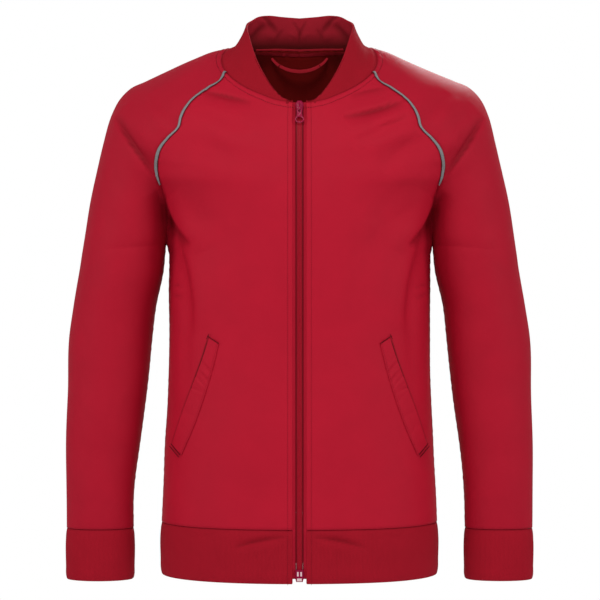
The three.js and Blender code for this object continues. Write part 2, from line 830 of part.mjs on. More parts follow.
// The line down the middle of the closed zip, as the front edges and the band's ends run,
// and a little past the box
const PAST_BOX = 3;
const zipRun = smoothRun(
  withChords([
    ...front.left.rows.map((row) => ({ x: 0, y: row[0].y, z: row[0].z })).reverse(),
    { x: 0, y: front.left.rows[0][0].y, z: BOX_BOTTOM - PAST_BOX },
  ]),
);
const HALVINGS = 30;
function zipStations(zTop, zBottom, steps) {
  const shareAt = (z) => {
    let low = 0;
    let high = 1;
    for (let step = 0; step < HALVINGS; step += 1) {
      const middle = (low + high) / 2;
      if (zipRun(middle).z > z) low = middle;
      else high = middle;
    }
    return low;
  };
  const from = shareAt(zTop);
  const to = shareAt(zBottom);
  return spaced(steps).map((u) => {
    const at = from + (to - from) * u;
    const here = vector(zipRun(at));
    const ahead = vector(zipRun(at + NUDGE)).sub(here).normalize();
    const aside = new THREE.Vector3(1, 0, 0);
    return { place: here, aside, out: ahead.clone().cross(aside).normalize() };
  });
}
const block = (x0, x1, out0, out1) => [
  [x0, out0],
  [x1, out0],
  [x1, out1],
  [x0, out1],
];

// Materials: the cloth, the ribs, the trim and the zip
const finish = {
  tricot: { color: 0xa81c33, roughness: 0.62, metalness: 0 },
  rib: { color: 0x8c1626, roughness: 0.85, metalness: 0 },
  piping: { color: 0x858588, roughness: 0.45, metalness: 0 },
  tape: { color: 0x8f1828, roughness: 0.8, metalness: 0 },
  chain: { color: 0x7d1424, roughness: 0.5, metalness: 0 },
  lacquer: { color: 0x9c1530, roughness: 0.3, metalness: 0.4 },
};
const track = new THREE.Group();
function piece(name, geometry, kind) {
  const mesh = new THREE.Mesh(geometry, new THREE.MeshStandardMaterial(finish[kind]));
  mesh.name = name;
  track.add(mesh);
  return mesh;
}

for (const [side, sign] of [["left", 1], ["right", -1]]) {
  piece(`front_${side}`, wall(front[side], CLOTH), "tricot");
  piece(`sleeve_${side}`, wall(sleeve[side], CLOTH), "tricot");
  piece(`cuff_${side}`, wall(cuff[side], RIB), "rib");
  piece(`pocket_welt_${side}`, wall(weltGrid(sign), WELT_WALL), "tricot");
  piece(`piping_${side}`, carried(pipingStations(front[side]), PIPING_SECTION), "piping");
}
piece("back", wall(back, CLOTH), "tricot");
piece("collar", wall(collar, COLLAR_RIB), "rib");
piece("hem_band", wall(band, RIB), "rib");

const tapeIn = CHAIN_HALF + SEAM_GAP;
const tapeStations = zipStations(CHAIN_TOP, TAPE_FOOT, TAPE_STEPS);
const tapeSection = block(tapeIn, TAPE_HALF, -TAPE_BACK, -TAPE_BACK - TAPE);
const otherTape = tapeSection.map(([across, out]) => [-across, out]);
piece("zip_tape_left", carried(tapeStations, tapeSection), "tape");
piece("zip_tape_right", carried(tapeStations, otherTape), "tape");
piece(
  "zip_chain",
  carried(
    zipStations(CHAIN_TOP, BOX_TOP + SEAM_GAP, TAPE_STEPS),
    block(-CHAIN_HALF, CHAIN_HALF, -CHAIN_SINK, -CHAIN_SINK - CHAIN_DEPTH),
  ),
  "chain",
);

// A flat shape across and along the zip, given its half outline from the top down
const pathOf = (points) => points.map(([a, b]) => new THREE.Vector2(a, b));
const whole = (half) => [...half, ...half.map(([a, b]) => [-a, b]).reverse()];
// Shapes are drawn across and up, and their thickness runs out of the zip towards -Y
function flatPlate(shape, out, thick) {
  const geometry = new THREE.ExtrudeGeometry(shape, {
    depth: thick,
    bevelEnabled: false,
    curveSegments: CURVE_SEGMENTS,
  });
  return geometry.rotateX(Math.PI / 2).translate(0, -out + thick, 0);
}

const wasm = await Module();
wasm.setup();
function solidOf(geometry) {
  const bare = geometry.clone();
  bare.deleteAttribute("normal");
  bare.deleteAttribute("uv");
  const merged = mergeVertices(bare, NUDGE);
  const triVerts = merged.index
    ? Uint32Array.from(merged.index.array)
    : Uint32Array.from({ length: merged.attributes.position.count }, (_, i) => i);
  return new wasm.Manifold(
    new wasm.Mesh({ numProp: 3, vertProperties: merged.attributes.position.array, triVerts }),
  );
}
function geometryOf(solid) {
  const mesh = solid.getMesh();
  const geometry = new THREE.BufferGeometry();
  geometry.setAttribute("position", new THREE.BufferAttribute(mesh.vertProperties, 3));
  geometry.setIndex(new THREE.BufferAttribute(mesh.triVerts, 1));
  geometry.computeVertexNormals();
  return geometry;
}

// The slider lies along the chain's slope
const [pullStation] = zipStations(PULL_AT, BOX_TOP, 1);
const onZip = new THREE.Group();
onZip.position.copy(pullStation.place);
onZip.rotation.x = Math.atan2(-pullStation.out.z, -pullStation.out.y);
track.add(onZip);

function sliderGeometry() {
  const plateShape = new THREE.Shape(pathOf(whole(PLATE_OUTLINE)));
  const plate = flatPlate(plateShape, PLATE_OUT, PLATE_THICK);
  const archShape = new THREE.Shape(pathOf([...BRIDGE_OUTER, ...BRIDGE_INNER]));
  const arch = new THREE.ExtrudeGeometry(archShape, {
    depth: 2 * BRIDGE_HALF,
    bevelEnabled: false,
  });
  // The arch is drawn out of the zip and up, and its thickness runs across
  const across = new THREE.Matrix4().set(0, 0, -1, BRIDGE_HALF, -1, 0, 0, 0, 0, 1, 0, 0, 0, 0, 0, 1);
  arch.applyMatrix4(across);
  return geometryOf(solidOf(plate).add(solidOf(arch)));
}

function pullGeometry() {
  const shape = new THREE.Shape();
  const turn = Math.acos(RING_SHARE);
  const neck = RING.at + RING.along * Math.sin(turn);
  const waist = (TAB_TOP + neck) / 2;
  shape.moveTo(TAB_HALF - TAB_BEVEL, TAB_TOP);
  shape.lineTo(-TAB_HALF + TAB_BEVEL, TAB_TOP);
  shape.lineTo(-TAB_HALF, TAB_TOP - TAB_BEVEL);
  shape.lineTo(-TAB_WAIST, waist);
  shape.lineTo(-RING.across * RING_SHARE, neck);
  shape.absellipse(0, RING.at, RING.across, RING.along, Math.PI - turn, turn, false, 0);
  shape.lineTo(TAB_WAIST, waist);
  shape.lineTo(TAB_HALF, TAB_TOP - TAB_BEVEL);
  const slot = new THREE.Path(
    pathOf([
      [-TAB_SLOT.half, TAB_SLOT.top],
      [TAB_SLOT.half, TAB_SLOT.top],
      [TAB_SLOT.half, TAB_SLOT.bottom],
      [-TAB_SLOT.half, TAB_SLOT.bottom],
    ]),
  );
  const hole = new THREE.Path();
  hole.absellipse(0, RING.at, RING.holeAcross, RING.holeAlong, 0, 2 * Math.PI, true, 0);
  shape.holes.push(slot, hole);
  return flatPlate(shape, BAR_OUT + TAB_THICK / 2, TAB_THICK);
}

for (const [name, geometry] of [
  ["zip_slider", sliderGeometry()],
  ["zip_pull", pullGeometry()],
]) {
  const mesh = piece(name, geometry, "lacquer");
  onZip.add(mesh);
}

const boxMesh = piece(
  "zip_box",
  flatPlate(new THREE.Shape(pathOf(whole(BOX_OUTLINE))), BOX_FRONT, BOX_FRONT - BOX_REAR),
  "lacquer",
);
boxMesh.position.set(0, front.left.rows[0][0].y, BOX_BOTTOM);

// The neck tape lies inside the back, along its neckline
function neckTapeGrid() {
  const last = back.rows.length - 1;
  const under = CLOTH + LAY_GAP + TAPE;
  const places = back.rows[last].slice(1, -1).map((point, k) => {
    const normal = back.normals[last][k + 1];
    const down = back.rows[last - 1][k + 1].clone().sub(point).normalize();
    return { point: point.clone().addScaledVector(normal, -under), normal, down };
  });
  const rows = [NECK_TAPE_TOP, NECK_TAPE_FOOT].map((drop) =>
    places.map(({ point, down }) => point.clone().addScaledVector(down, drop)),
  );
  const inward = places.map(({ normal }) => normal.clone().negate());
  return { rows, normals: [inward, inward] };
}
piece("neck_tape", wall(neckTapeGrid(), TAPE), "rib");

// The loop's ends lie on the inside of the back, and its middle hangs free
function loopGeometry() {
  const { point } = onTorso(LOOP_END.x, LOOP_END.z, false);
  const rear = point.y - CLOTH - LAY_GAP - LOOP_HALF_THICK - LOOP_SLACK;
  const half = withChords(LOOP_PATH.map(({ x, ahead, z }) => ({ x, y: rear - ahead, z })));
  const run = smoothRun(half);
  const right = spaced(LOOP_STEPS).map((u) => vector(run(u)));
  const line = [...right, ...right.slice(0, -1).reverse().map(mirrored)];
  const out = new THREE.Vector3(0, -1, 0);
  return carried(
    line.map((place, i) => {
      const ahead = line[Math.min(i + 1, line.length - 1)].clone().sub(line[Math.max(i - 1, 0)]);
      return { place, out, aside: ahead.cross(out).normalize() };
    }),
    block(-LOOP_HALF_WIDE, LOOP_HALF_WIDE, -LOOP_HALF_THICK, LOOP_HALF_THICK),
  );
}
piece("hanger_loop", loopGeometry(), "rib");

export default track;
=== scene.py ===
"""A zipped raglan track jacket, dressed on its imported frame.

Tables and pattern work are in millimetres, in the frame's own axes: X across with the wearer's
left at +X, the front towards -Y, Z up. They become metres where a mesh is made.
"""
import math
from types import SimpleNamespace

import bmesh
import bpy
import numpy as np
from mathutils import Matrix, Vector
from mathutils.bvhtree import BVHTree


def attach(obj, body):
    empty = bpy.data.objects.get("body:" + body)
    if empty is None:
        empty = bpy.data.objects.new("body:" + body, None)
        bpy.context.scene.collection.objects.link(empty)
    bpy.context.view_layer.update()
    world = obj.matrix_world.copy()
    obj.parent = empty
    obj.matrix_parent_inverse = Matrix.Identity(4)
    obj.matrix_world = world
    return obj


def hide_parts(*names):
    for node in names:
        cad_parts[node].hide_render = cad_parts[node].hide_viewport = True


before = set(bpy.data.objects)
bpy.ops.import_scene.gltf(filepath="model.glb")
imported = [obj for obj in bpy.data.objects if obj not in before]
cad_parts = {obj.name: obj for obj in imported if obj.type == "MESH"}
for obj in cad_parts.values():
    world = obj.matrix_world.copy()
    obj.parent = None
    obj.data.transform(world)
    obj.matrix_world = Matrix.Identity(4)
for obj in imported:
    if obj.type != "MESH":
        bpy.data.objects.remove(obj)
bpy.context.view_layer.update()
MM = 0.001

# Camera: 3 m in front of the jacket's middle, as the photograph shows it
CAMERA_PLACE = (0.00067, -3.0, -0.3333)
CAMERA_LENS = 135
CAMERA_SENSOR = 36

# Cloth and trim
CLOTH = 1.4
RIB = 2.0
COLLAR_RIB = 3.2
SEAM_GAP = 0.08
LAY_GAP = 0.45
TAPE = 0.8
ROLL = 0.42
ZIP_HALF = 8.7
CHAIN_HALF = 4.2
TAPE_HALF = 16.5
TAPE_BACK = 2.55
CHAIN_SINK = 1.3
CHAIN_TOP = -77.5
BOX_TOP = -678.7
BOX_BOTTOM = -694.2
TAPE_FOOT = -690.7
PAST_BOX = 3

# Where a seam sinks: how deep, over what distance, and the small puckers that its thread draws
SEAM_SINK = 0.75
SEAM_SOFT = 2.6
PUCKER = 0.3
PUCKER_REACH = 9
TOPSTITCH = 8.0
ZIP_STITCH = 6.4

# How finely the pieces are divided
SIDE_ROWS = 92
RAGLAN_ROWS = 108
ARM_ROWS = 98
FRONT_COLUMNS = 94
BACK_COLUMNS = 78
SLEEVE_COLUMNS = 84
RIB_ROWS = 34
COLLAR_ROWS = 26
ROW_POWER = 1.25
COLUMN_POWER = 1.15


def table(columns, rows):
    """The rows of a table as one array for each named column."""
    names = columns.split()
    return SimpleNamespace(**dict(zip(names, np.array(rows, float).T)))


# The neckline seam on one side, from the zip over the shoulder to the middle of the back
NECKLINE = table("x y z", [
    [8.7, -97, -77.4],
    [23.9, -94, -75],
    [35.6, -91, -71.9],
    [49, -85, -66.2],
    [64.3, -77, -59.2],
    [79.3, -66, -50.2],
    [97.1, -48, -33.4],
    [101.2, -38, -25.3],
    [103.1, -26, -15.3],
    [102, -15, -6.4],
    [96.5, -4, 1.6],
    [84.4, 13, 5.3],
    [72, 30, 5],
    [62.8, 40, 4],
    [33.2, 52, 3.8],
    [0, 56, 2.7],
])
FRONT_CORNER = 6
SHOULDER_POINT = 10
BACK_CORNER = 13

# How far the collar curves in above its seam, before it stands up
COLLAR_BOW = 11.5

# The upper edge of the stand collar, from its tapered end to the middle of the back
COLLAR_TOP = table("x y z", [
    [9.4, -96.4, -74.9],
    [16.4, -94.4, -73.2],
    [25.2, -89, -66.5],
    [35.7, -80, -53.8],
    [46.3, -68, -36.2],
    [55.6, -54, -16.7],
    [61.9, -38, 1.6],
    [67.5, -20, 20],
    [71, -3, 31.5],
    [71.2, 12, 38.5],
    [64.5, 27, 44.5],
    [56, 37.5, 50.2],
    [42, 46, 52.8],
    [24, 52.5, 51.8],
    [0, 55, 50.2],
])

# The raglan seams on one side, from the neckline down to the underarm
RAGLAN_FRONT = table("x y z", [
    [97.1, -48, -33.4],
    [103, -58, -45.6],
    [120.4, -72, -58.7],
    [141.7, -88, -77],
    [152.9, -97, -95.9],
    [156.5, -101, -110.4],
    [170.9, -98, -125],
    [180.8, -94, -137.6],
    [185.8, -87, -153.3],
    [186.5, -80, -162.1],
    [184, -72, -174.6],
    [180.5, -62, -186],
    [176.5, -43, -208],
    [175, -21, -234],
    [177, -6, -255],
    [177.5, 0, -261],
])
RAGLAN_BACK = table("x y z", [
    [62.8, 40, 4],
    [75, 58, -10],
    [96, 76, -32],
    [120, 89, -58],
    [142, 96, -85],
    [160, 97, -112],
    [174, 92, -138],
    [182, 82, -160],
    [184, 68, -181],
    [180, 47, -206],
    [176, 23, -233],
    [177, 6, -255],
    [177.5, 0, -261],
])

# The side seam, from the rib band up to the underarm
SIDE_SEAM = table("x y z", [
    [183.3, 0, -627],
    [182, 0, -584],
    [179.3, 0, -528],
    [175.3, 0, -472],
    [173.6, 0, -425],
    [173.6, 0, -378],
    [174, 0, -320],
    [174, 0, -285],
    [174.8, 0, -271],
    [177.5, 0, -261],
])

# Rows of the front and back, from the band (0) past the underarm (1) to the neckline (2).
# z and y give the middle of the row; turn is the way it arrives at its outer edge, in degrees.
FRONT_ROWS = table("at z y turn inner outer lift", [
    [0, -628, -120, 90, 0.62, 0.62, 0],
    [0.3, -516, -121, 90, 0.62, 0.64, 0],
    [0.65, -384, -119, 90, 0.62, 0.66, 0],
    [0.9, -288, -123, 88, 0.62, 0.66, 0],
    [1, -248, -124.5, 84, 0.6, 0.66, 0],
    [1.18, -214, -125, 74, 0.58, 0.6, 0],
    [1.34, -188, -124, 60, 0.5, 0.5, 0],
    [1.5, -164, -121, 24, 0.45, 0.3, 0.1],
    [1.75, -124, -112.5, 30, 0.45, 0.3, 0.3],
    [2, -77.4, -97, 45, 0.45, 0.35, 0.5],
])
BACK_ROWS = table("at z y turn inner outer lift", [
    [0, -628, 116, 90, 0.6, 0.62, 0],
    [0.3, -516, 108, 90, 0.6, 0.64, 0],
    [0.5, -440, 103, 90, 0.6, 0.66, 0],
    [0.75, -345, 108, 90, 0.6, 0.66, 0],
    [1, -245, 117, 84, 0.6, 0.66, 0],
    [1.18, -208, 117.5, 74, 0.58, 0.6, 0],
    [1.34, -172, 116, 58, 0.5, 0.5, 0],
    [1.5, -138, 112, 30, 0.45, 0.35, 0.1],
    [1.75, -70, 93, 26, 0.45, 0.3, 0.3],
    [2, 2.7, 56, 40, 0.45, 0.35, 0.5],
])

# Rows of the sleeve, from the neckline (0) past the underarm (1) to the cuff (2).
# x y z give the line over the shoulder and down the outside of the arm.
SLEEVE_ROWS = table("at x y z turn start finish lift", [
    [0, 96.5, -4, 1.6, 60, 14, 12, 0.5],
    [0.06, 116, 1, -2, 52, 20, 22, 0.5],
    [0.14, 141, 4, -12.5, 42, 26, 32, 0.5],
    [0.24, 172, 6, -26.5, 32, 30, 38, 0.45],
    [0.34, 205, 6, -41, 20, 34, 42, 0.4],
    [0.42, 226, 5, -50.5, 8, 32, 46, 0.3],
    [0.49, 241, 5, -66, -2, 32, 52, 0.2],
    [0.56, 251, 4, -87, -14, 34, 58, 0.15],
    [0.66, 261, 3, -124, -40, 42, 68, 0.1],
    [0.78, 271, 2, -169, -66, 60, 78, 0],
    [0.9, 280.5, 1, -216, -82, 80, 86, 0],
    [1, 289.5, 0, -271, -90, 92, 92, 0],
    [1.062, 291.8, 0, -288, -90, 92, 92, 0],
    [1.212, 300.7, 0, -341, -90, 88, 88, 0],
    [1.313, 306, -1, -378.6, -90, 83, 83, 0],
    [1.513, 308.7, -5, -453, -90, 75, 75, 0],
    [1.714, 310, -9, -528, -90, 66, 66, 0],
    [1.914, 308.7, -13, -602.6, -90, 55, 55, 0],
    [2, 308.7, -14, -634.6, -90, 48, 48, 0],
])
ARM_SEAM = table("at x y z", [
    [1, 177.5, 0, -261],
    [1.03, 178.6, 0, -271],
    [1.08, 180.6, 0, -290],
    [1.212, 191.3, 0, -341],
    [1.313, 195.5, -1, -378.6],
    [1.513, 203.3, -5, -453],
    [1.714, 212.7, -9, -528],
    [1.914, 219.3, -13, -602.6],
    [2, 219.3, -14, -634.6],
])
NECK_REACH = 0.22

# Profiles of the rib pieces: the way down from the seam, and out from the cloth
BAND_PROFILE = table("drop out", [
    [0, -0.9],
    [2, -0.3],
    [6, 0.6],
    [16, 1.6],
    [48, 1.5],
    [66, 0.6],
    [69.6, -0.4],
])
CUFF_PROFILE = table("drop out", [
    [0, -0.7],
    [2, -0.2],
    [6, 0.5],
    [16, 1.2],
    [50, 1],
    [65, 0.4],
    [68, -0.5],
])

# Folds as seen from the front or from behind, from end to end. A trough has a negative depth.
# Bow lifts its middle; over and under are how far it reaches on its upper and lower side.
FRONT_FOLDS = table("x0 z0 x1 z1 bow over under depth", [
    # the folds at the underarms, and the vertical ones that run down from them
    [186, -190, 141, -264, -5, 3.4, 17, -6.5],
    [166, -196, 124, -270, -5, 14, 20, 4.6],
    [166, -240, 142, -380, 6, 7, 14, -5],
    [150, -262, 128, -372, 6, 18, 12, 3],
    [152, -300, 148, -470, 3, 10, 9, -2],
    [-186, -190, -141, -264, -5, 3.4, 17, -6.5],
    [-166, -196, -124, -270, -5, 14, 20, 4.6],
    [-166, -240, -142, -380, 6, 7, 14, -5],
    [-150, -262, -128, -372, 6, 18, 12, 3],
    [-155, -290, -147, -458, 3, 9, 10, -2.2],
    # the short creases across the side, under the arms
    [170, -312, 150, -318, 1, 2.5, 4, -0.9],
    [168, -322, 151, -331, -1, 3, 5, -0.8],
    [-170, -312, -151, -317, 1, 2.5, 4, -0.9],
    [-168, -324, -150, -330, -1, 3, 5, -0.9],
    # the chest on the wearer's left, drawn from the collar and the piping
    [112, -57, 66, -69, 2, 3, 8, -1.8],
    [138, -74, 56, -97, -3, 3.4, 10, -4],
    [128, -72, 70, -93, -3, 1.8, 3, -1.2],
    [150, -88, 92, -103, -2, 9, 5, 1.4],
    [142, -93, 66, -131, -3, 6, 12, -2.8],
    [139, -95, 100, -110, -2, 2, 3, -1],
    [162, -122, 106, -166, 4, 9, 15, -3],
    [154, -108, 88, -146, 2, 11, 9, 1.6],
    [160, -176, 96, -238, 8, 12, 20, -1.8],
    [168, -205, 60, -300, 10, 12, 22, -1.5],
    # the chest on the wearer's right, calmer
    [-124, -62, -62, -78, 1, 3.4, 10, -3.4],
    [-120, -62, -76, -75, 1, 1.8, 3, -1.1],
    [-138, -82, -58, -112, -3, 9, 13, -1.5],
    [-152, -104, -88, -160, 6, 12, 16, -1.5],
    [-150, -200, -80, -290, 10, 14, 22, -1.1],
    # the wearer's left sleeve: the crease from the shoulder to the underarm, and the cloth above it
    [243, -93, 187, -174, -2.5, 15, 3.6, -5.4],
    [243, -93, 189, -174, -3, 3.2, 1.8, -2.6],
    [232, -76, 196, -134, -3, 9, 10, 2.2],
    [227, -76, 208, -132, 1, 8, 8, -2.6],
    [196, -62, 162, -116, 5, 17, 7, -3],
    [206, -66, 178, -118, 2, 8, 10, 1.8],
    [204, -138, 190, -160, 1, 6, 6, -1.6],
    [212, -96, 201, -118, 2, 4, 4, -1],
    [256, -138, 214, -206, -4, 14, 10, -1.1],
    [272, -210, 212, -262, -6, 18, 14, -1.2],
    [292, -330, 214, -372, 4, 18, 16, -1],
    [300, -436, 226, -456, -5, 20, 18, -1.2],
    [298, -530, 232, -548, 4, 16, 14, -0.9],
    [290, -596, 238, -608, 2, 12, 10, -0.8],
    # the wearer's right sleeve
    [-243, -92, -186, -172, -2.5, 15, 3.6, -5.4],
    [-243, -92, -188, -172, -3, 3.2, 1.8, -2.6],
    [-232, -75, -196, -132, -3, 9, 10, 2.2],
    [-228, -78, -209, -131, 1, 8, 8, -2.5],
    [-195, -62, -163, -118, 5, 17, 7, -2.8],
    [-207, -67, -178, -117, 2, 8, 10, 2],
    [-205, -140, -191, -163, 1, 6, 6, -1.5],
    [-215, -98, -204, -119, 2, 4, 4, -0.9],
    [-258, -144, -214, -208, -4, 14, 10, -1],
    [-266, -206, -212, -258, -6, 18, 14, -1.1],
    [-296, -340, -218, -376, 5, 18, 16, -1],
    [-300, -426, -226, -450, -5, 20, 18, -1.1],
    [-298, -520, -232, -544, -3, 16, 14, -0.9],
    [-288, -598, -238, -607, 2, 12, 10, -0.8],
])
BACK_FOLDS = table("x0 z0 x1 z1 bow over under depth", [
    [182, -196, 118, -262, -6, 9, 17, -6],
    [166, -180, 96, -232, -6, 20, 14, 3.4],
    [160, -250, 120, -350, 8, 8, 15, -4],
    [150, -92, 62, -136, 8, 8, 16, -2.8],
    [132, -62, 74, -84, -3, 5, 12, -1.8],
    [214, -96, 190, -172, -4, 15, 5, -4.4],
    [236, -82, 206, -128, -3, 10, 8, 1.9],
    [262, -200, 206, -264, -6, 15, 10, -2.4],
    [300, -424, 224, -444, -4, 10, 15, -3],
    [298, -462, 222, -474, 3, 8, 14, -2.6],
    [290, -400, 230, -408, 3, 8, 12, -1.4],
    [296, -540, 230, -560, 4, 15, 12, -1.8],
    [150, -440, 40, -424, 6, 10, 18, -3],
    [120, -470, 10, -462, 5, 9, 16, -2],
    [130, -300, 60, -380, 8, 12, 18, -1.4],
    [-182, -200, -112, -270, -6, 9, 17, -6],
    [-166, -184, -90, -238, -6, 20, 14, 3.4],
    [-162, -244, -124, -344, 8, 8, 15, -4],
    [-148, -96, -58, -142, 8, 8, 16, -2.8],
    [-130, -66, -70, -90, -3, 5, 12, -1.6],
    [-216, -100, -192, -170, -4, 15, 5, -4.4],
    [-238, -84, -206, -132, -3, 10, 8, 1.9],
    [-260, -206, -206, -262, -6, 15, 10, -2.4],
    [-300, -416, -226, -438, -4, 10, 15, -3],
    [-298, -456, -224, -470, 3, 8, 14, -2.6],
    [-288, -392, -232, -402, -3, 8, 12, -1.3],
    [-294, -548, -230, -562, -4, 15, 12, -1.8],
    [-146, -462, -20, -452, 6, 10, 18, -3],
    [-110, -430, -8, -424, -4, 9, 15, -1.8],
    [-128, -310, -64, -392, 8, 12, 18, -1.3],
])
# The rib band's creases by the zip, and the collar's on its inner side
BAND_FOLDS = table("x0 z0 x1 z1 bow over under depth", [
    [17, -637, 86, -652, 2, 5, 2.4, -3.4],
    [-17, -637, -86, -652, 2, 5, 2.4, -3.4],
    [24, -646, 74, -661, 2, 5, 6, 1.1],
    [-26, -646, -76, -661, 2, 5, 6, 1.1],
    [10, -640, 34, -668, 1, 6, 6, -0.8],
    [-12, -640, -36, -671, -1, 6, 6, -0.8],
    [96, -636, 140, -644, 2, 4, 8, -0.8],
    [-102, -637, -148, -643, 2, 4, 8, -0.8],
])
COLLAR_FOLDS = table("x0 z0 x1 z1 bow over under depth", [
    [-56, 54, -30, 28, 2, 3.4, 4, -2.4],
    [-70, 12, -43, 43, 2, 4, 5, -2.5],
    [-60, 46, -42, 40, 1, 4, 4, 1.6],
    [-46, 24, -30, 18, 1, 5, 5, 1.4],
    [-10, 46, 1, 25, 1, 2.2, 2.2, -1.3],
    [10, 46, 1, 25, 1, 2.2, 2.2, -1.3],
    [1, 36, 0, 12, 0.5, 1.8, 1.8, -1.4],
    [-14, 30, -5, 20, 1, 3, 3, 0.9],
    [14, 30, 6, 20, 1, 3, 3, 0.9],
    [56, 54, 30, 28, 2, 3.4, 4, -2.4],
    [70, 12, 44, 43, 2, 4, 5, -2.4],
    [60, 46, 42, 40, 1, 4, 4, 1.5],
    [46, 24, 31, 18, 1, 5, 5, 1.3],
    [-34, 14, -22, 34, 2, 2.6, 3, -1.4],
    [34, 13, 23, 35, 2, 2.6, 3, -1.4],
])
FOLD_FADE = 34
SWELL_POWER = 0.7
# A slow, slight unevenness of the whole cloth: across, along, phase and height
UNEVEN = table("across along phase height", [
    [0.031, 0.012, 0.4, 0.42],
    [-0.019, 0.034, 1.9, 0.38],
    [0.052, -0.021, 3.1, 0.2],
    [0.011, 0.061, 4.4, 0.16],
])

# The slanted pocket welts on the wearer's left, from the upper to the lower end
WELT = table("at openX openZ stitchX stitchZ", [
    [0, 116.2, -382.8, 103.3, -388.5],
    [0.2, 125, -411, 111, -420],
    [0.45, 138, -446, 122, -457],
    [0.7, 151, -480, 135, -494],
    [1, 166, -524, 153, -535.5],
])
WELT_ROWS = 130
WELT_COLUMNS = 12
WELT_WALL = 1.5
WELT_STAND = 1.3
# Small wrinkles across the welts: place along, place across, slant, size and height
WELT_WRINKLES = table("along across slant size height", [
    [0.2, 0.55, 0.5, 2.2, 0.5],
    [0.24, 0.35, 0.5, 2.2, -0.9],
    [0.28, 0.6, 0.4, 2, 0.7],
    [0.32, 0.3, 0.7, 2.4, -1],
    [0.36, 0.62, 0.5, 2, -0.7],
    [0.39, 0.5, 0.4, 1.8, 0.5],
    [0.45, 0.75, -0.3, 1.8, -0.9],
    [0.5, 0.3, 0.2, 2.6, -0.4],
    [0.66, 0.5, -0.2, 3, -0.4],
    [0.8, 0.4, 0.3, 2.6, -0.35],
])

# The tacks across the welts' ends, on the wearer's left
WELT_TACKS = [
    ((117.8, -379.6), (103.2, -389.4)),
    ((118.6, -383.2), (115.6, -377.4)),
    ((166.2, -521.6), (154, -534.4)),
    ((168, -525), (155.6, -537.8)),
]

# Piping along the front raglan seams: half its width and its height as it turns in the light
PIPING_FOLD_LIFT = 1.8
PIPING_LIFT_POWER = 8
PIPING_END = 0.665
PIPING_FACE = table("at wide high", [
    [0, 2.1, 1.5],
    [0.05, 1.9, 1.5],
    [0.1, 1, 1.2],
    [0.14, 1.25, 1.7],
    [0.35, 1.35, 1.9],
    [0.5, 1.7, 1.9],
    [0.58, 1.35, 1.8],
    [0.66, 1.5, 1.8],
    [0.78, 2.1, 1.8],
    [0.9, 2, 1.8],
    [0.97, 1.3, 1.6],
    [1, 0.7, 1.2],
])

# The tape over the back neck seam, and the loop that the jacket hangs by
NECK_TAPE_TOP = 3.2
NECK_TAPE_FOOT = 6.2
LOOP_END = (38, -5)
LOOP_SLACK = 0.9
LOOP_HALF_WIDE = 2.5
LOOP_HALF_THICK = 0.6
LOOP_PATH = table("x ahead z", [
    [38, 0, -5],
    [33, 0.6, -11],
    [25, 1.8, -16.8],
    [13, 3.4, -21.8],
    [0, 4, -23.6],
])

LOOP_TACK = 27.2

COIL_PITCH = 1.55
# The foot box's painted highlights, in metres: middle across and up, half width and half height
FOOT_BOX_HIGHLIGHTS = [(-0.0021, -0.6842, 0.0012, 0.003), (0.0021, -0.6842, 0.0012, 0.003),
                    (0, -0.6915, 0.0033, 0.002)]
FLOOR_AT = -1500
AMBIENT = 0.32


# Smooth runs through the tables

def chord_shares(rows):
    """How far along a table's points each one is, as a share of the whole way."""
    steps = np.sqrt(np.diff(rows.x) ** 2 + np.diff(rows.y) ** 2 + np.diff(rows.z) ** 2)
    run = np.concatenate([[0], np.cumsum(steps)])
    return run / run[-1]


def smooth_run(rows):
    """A smooth curve through a table's rows, read at any places along it."""
    at = rows.at if hasattr(rows, "at") else chord_shares(rows)
    gap = np.diff(at)

    def slopes(values):
        rate = np.diff(values) / gap
        inner = (rate[:-1] * gap[1:] + rate[1:] * gap[:-1]) / (gap[:-1] + gap[1:])
        return np.concatenate([rate[:1], inner, rate[-1:]])

    columns = {name: (values, slopes(values)) for name, values in vars(rows).items() if name != "at"}

    def read(places):
        places = np.atleast_1d(np.asarray(places, float))
        i = np.clip(np.searchsorted(at, places, side="left") - 1, 0, len(at) - 2)
        t = (places - at[i]) / gap[i]
        found = {}
        for name, (values, slope) in columns.items():
            start, stop = values[i], values[i + 1]
            leave, arrive = slope[i] * gap[i], slope[i + 1] * gap[i]
            found[name] = (start + t * leave + t ** 2 * (3 * (stop - start) - 2 * leave - arrive)
                           + t ** 3 * (2 * (start - stop) + leave + arrive))
        return SimpleNamespace(**found)

    return read


def points_of(rows):
    return np.stack([rows.x, rows.y, rows.z], axis=-1)


def ease(t):
    c = np.clip(t, 0, 1)
    return c * c * (3 - 2 * c)


def unit(vectors):
    return vectors / np.maximum(np.linalg.norm(vectors, axis=-1, keepdims=True), 1e-9)


def arc_of(start, first, second, end, s):
    """Cubic arcs, one for each row of their four places, read at the shares s."""
    start, first, second, end = (p[:, None] for p in (start, first, second, end))
    s = s[None, :, None]
    return (start * (1 - s) ** 3 + first * 3 * (1 - s) ** 2 * s
            + second * 3 * (1 - s) * s ** 2 + end * s ** 3)


neck_shares = chord_shares(NECKLINE)
neckline = smooth_run(NECKLINE)
collar_top = smooth_run(COLLAR_TOP)
raglan_front = smooth_run(RAGLAN_FRONT)
raglan_back = smooth_run(RAGLAN_BACK)
side_seam = smooth_run(SIDE_SEAM)
front_row = smooth_run(FRONT_ROWS)
back_row = smooth_run(BACK_ROWS)
sleeve_row = smooth_run(SLEEVE_ROWS)
arm_seam = smooth_run(ARM_SEAM)


def neck_part(start, stop, s):
    """Points of the neckline between two of its marked places."""
    return points_of(neckline(neck_shares[start] + (neck_shares[stop] - neck_shares[start]) * s))


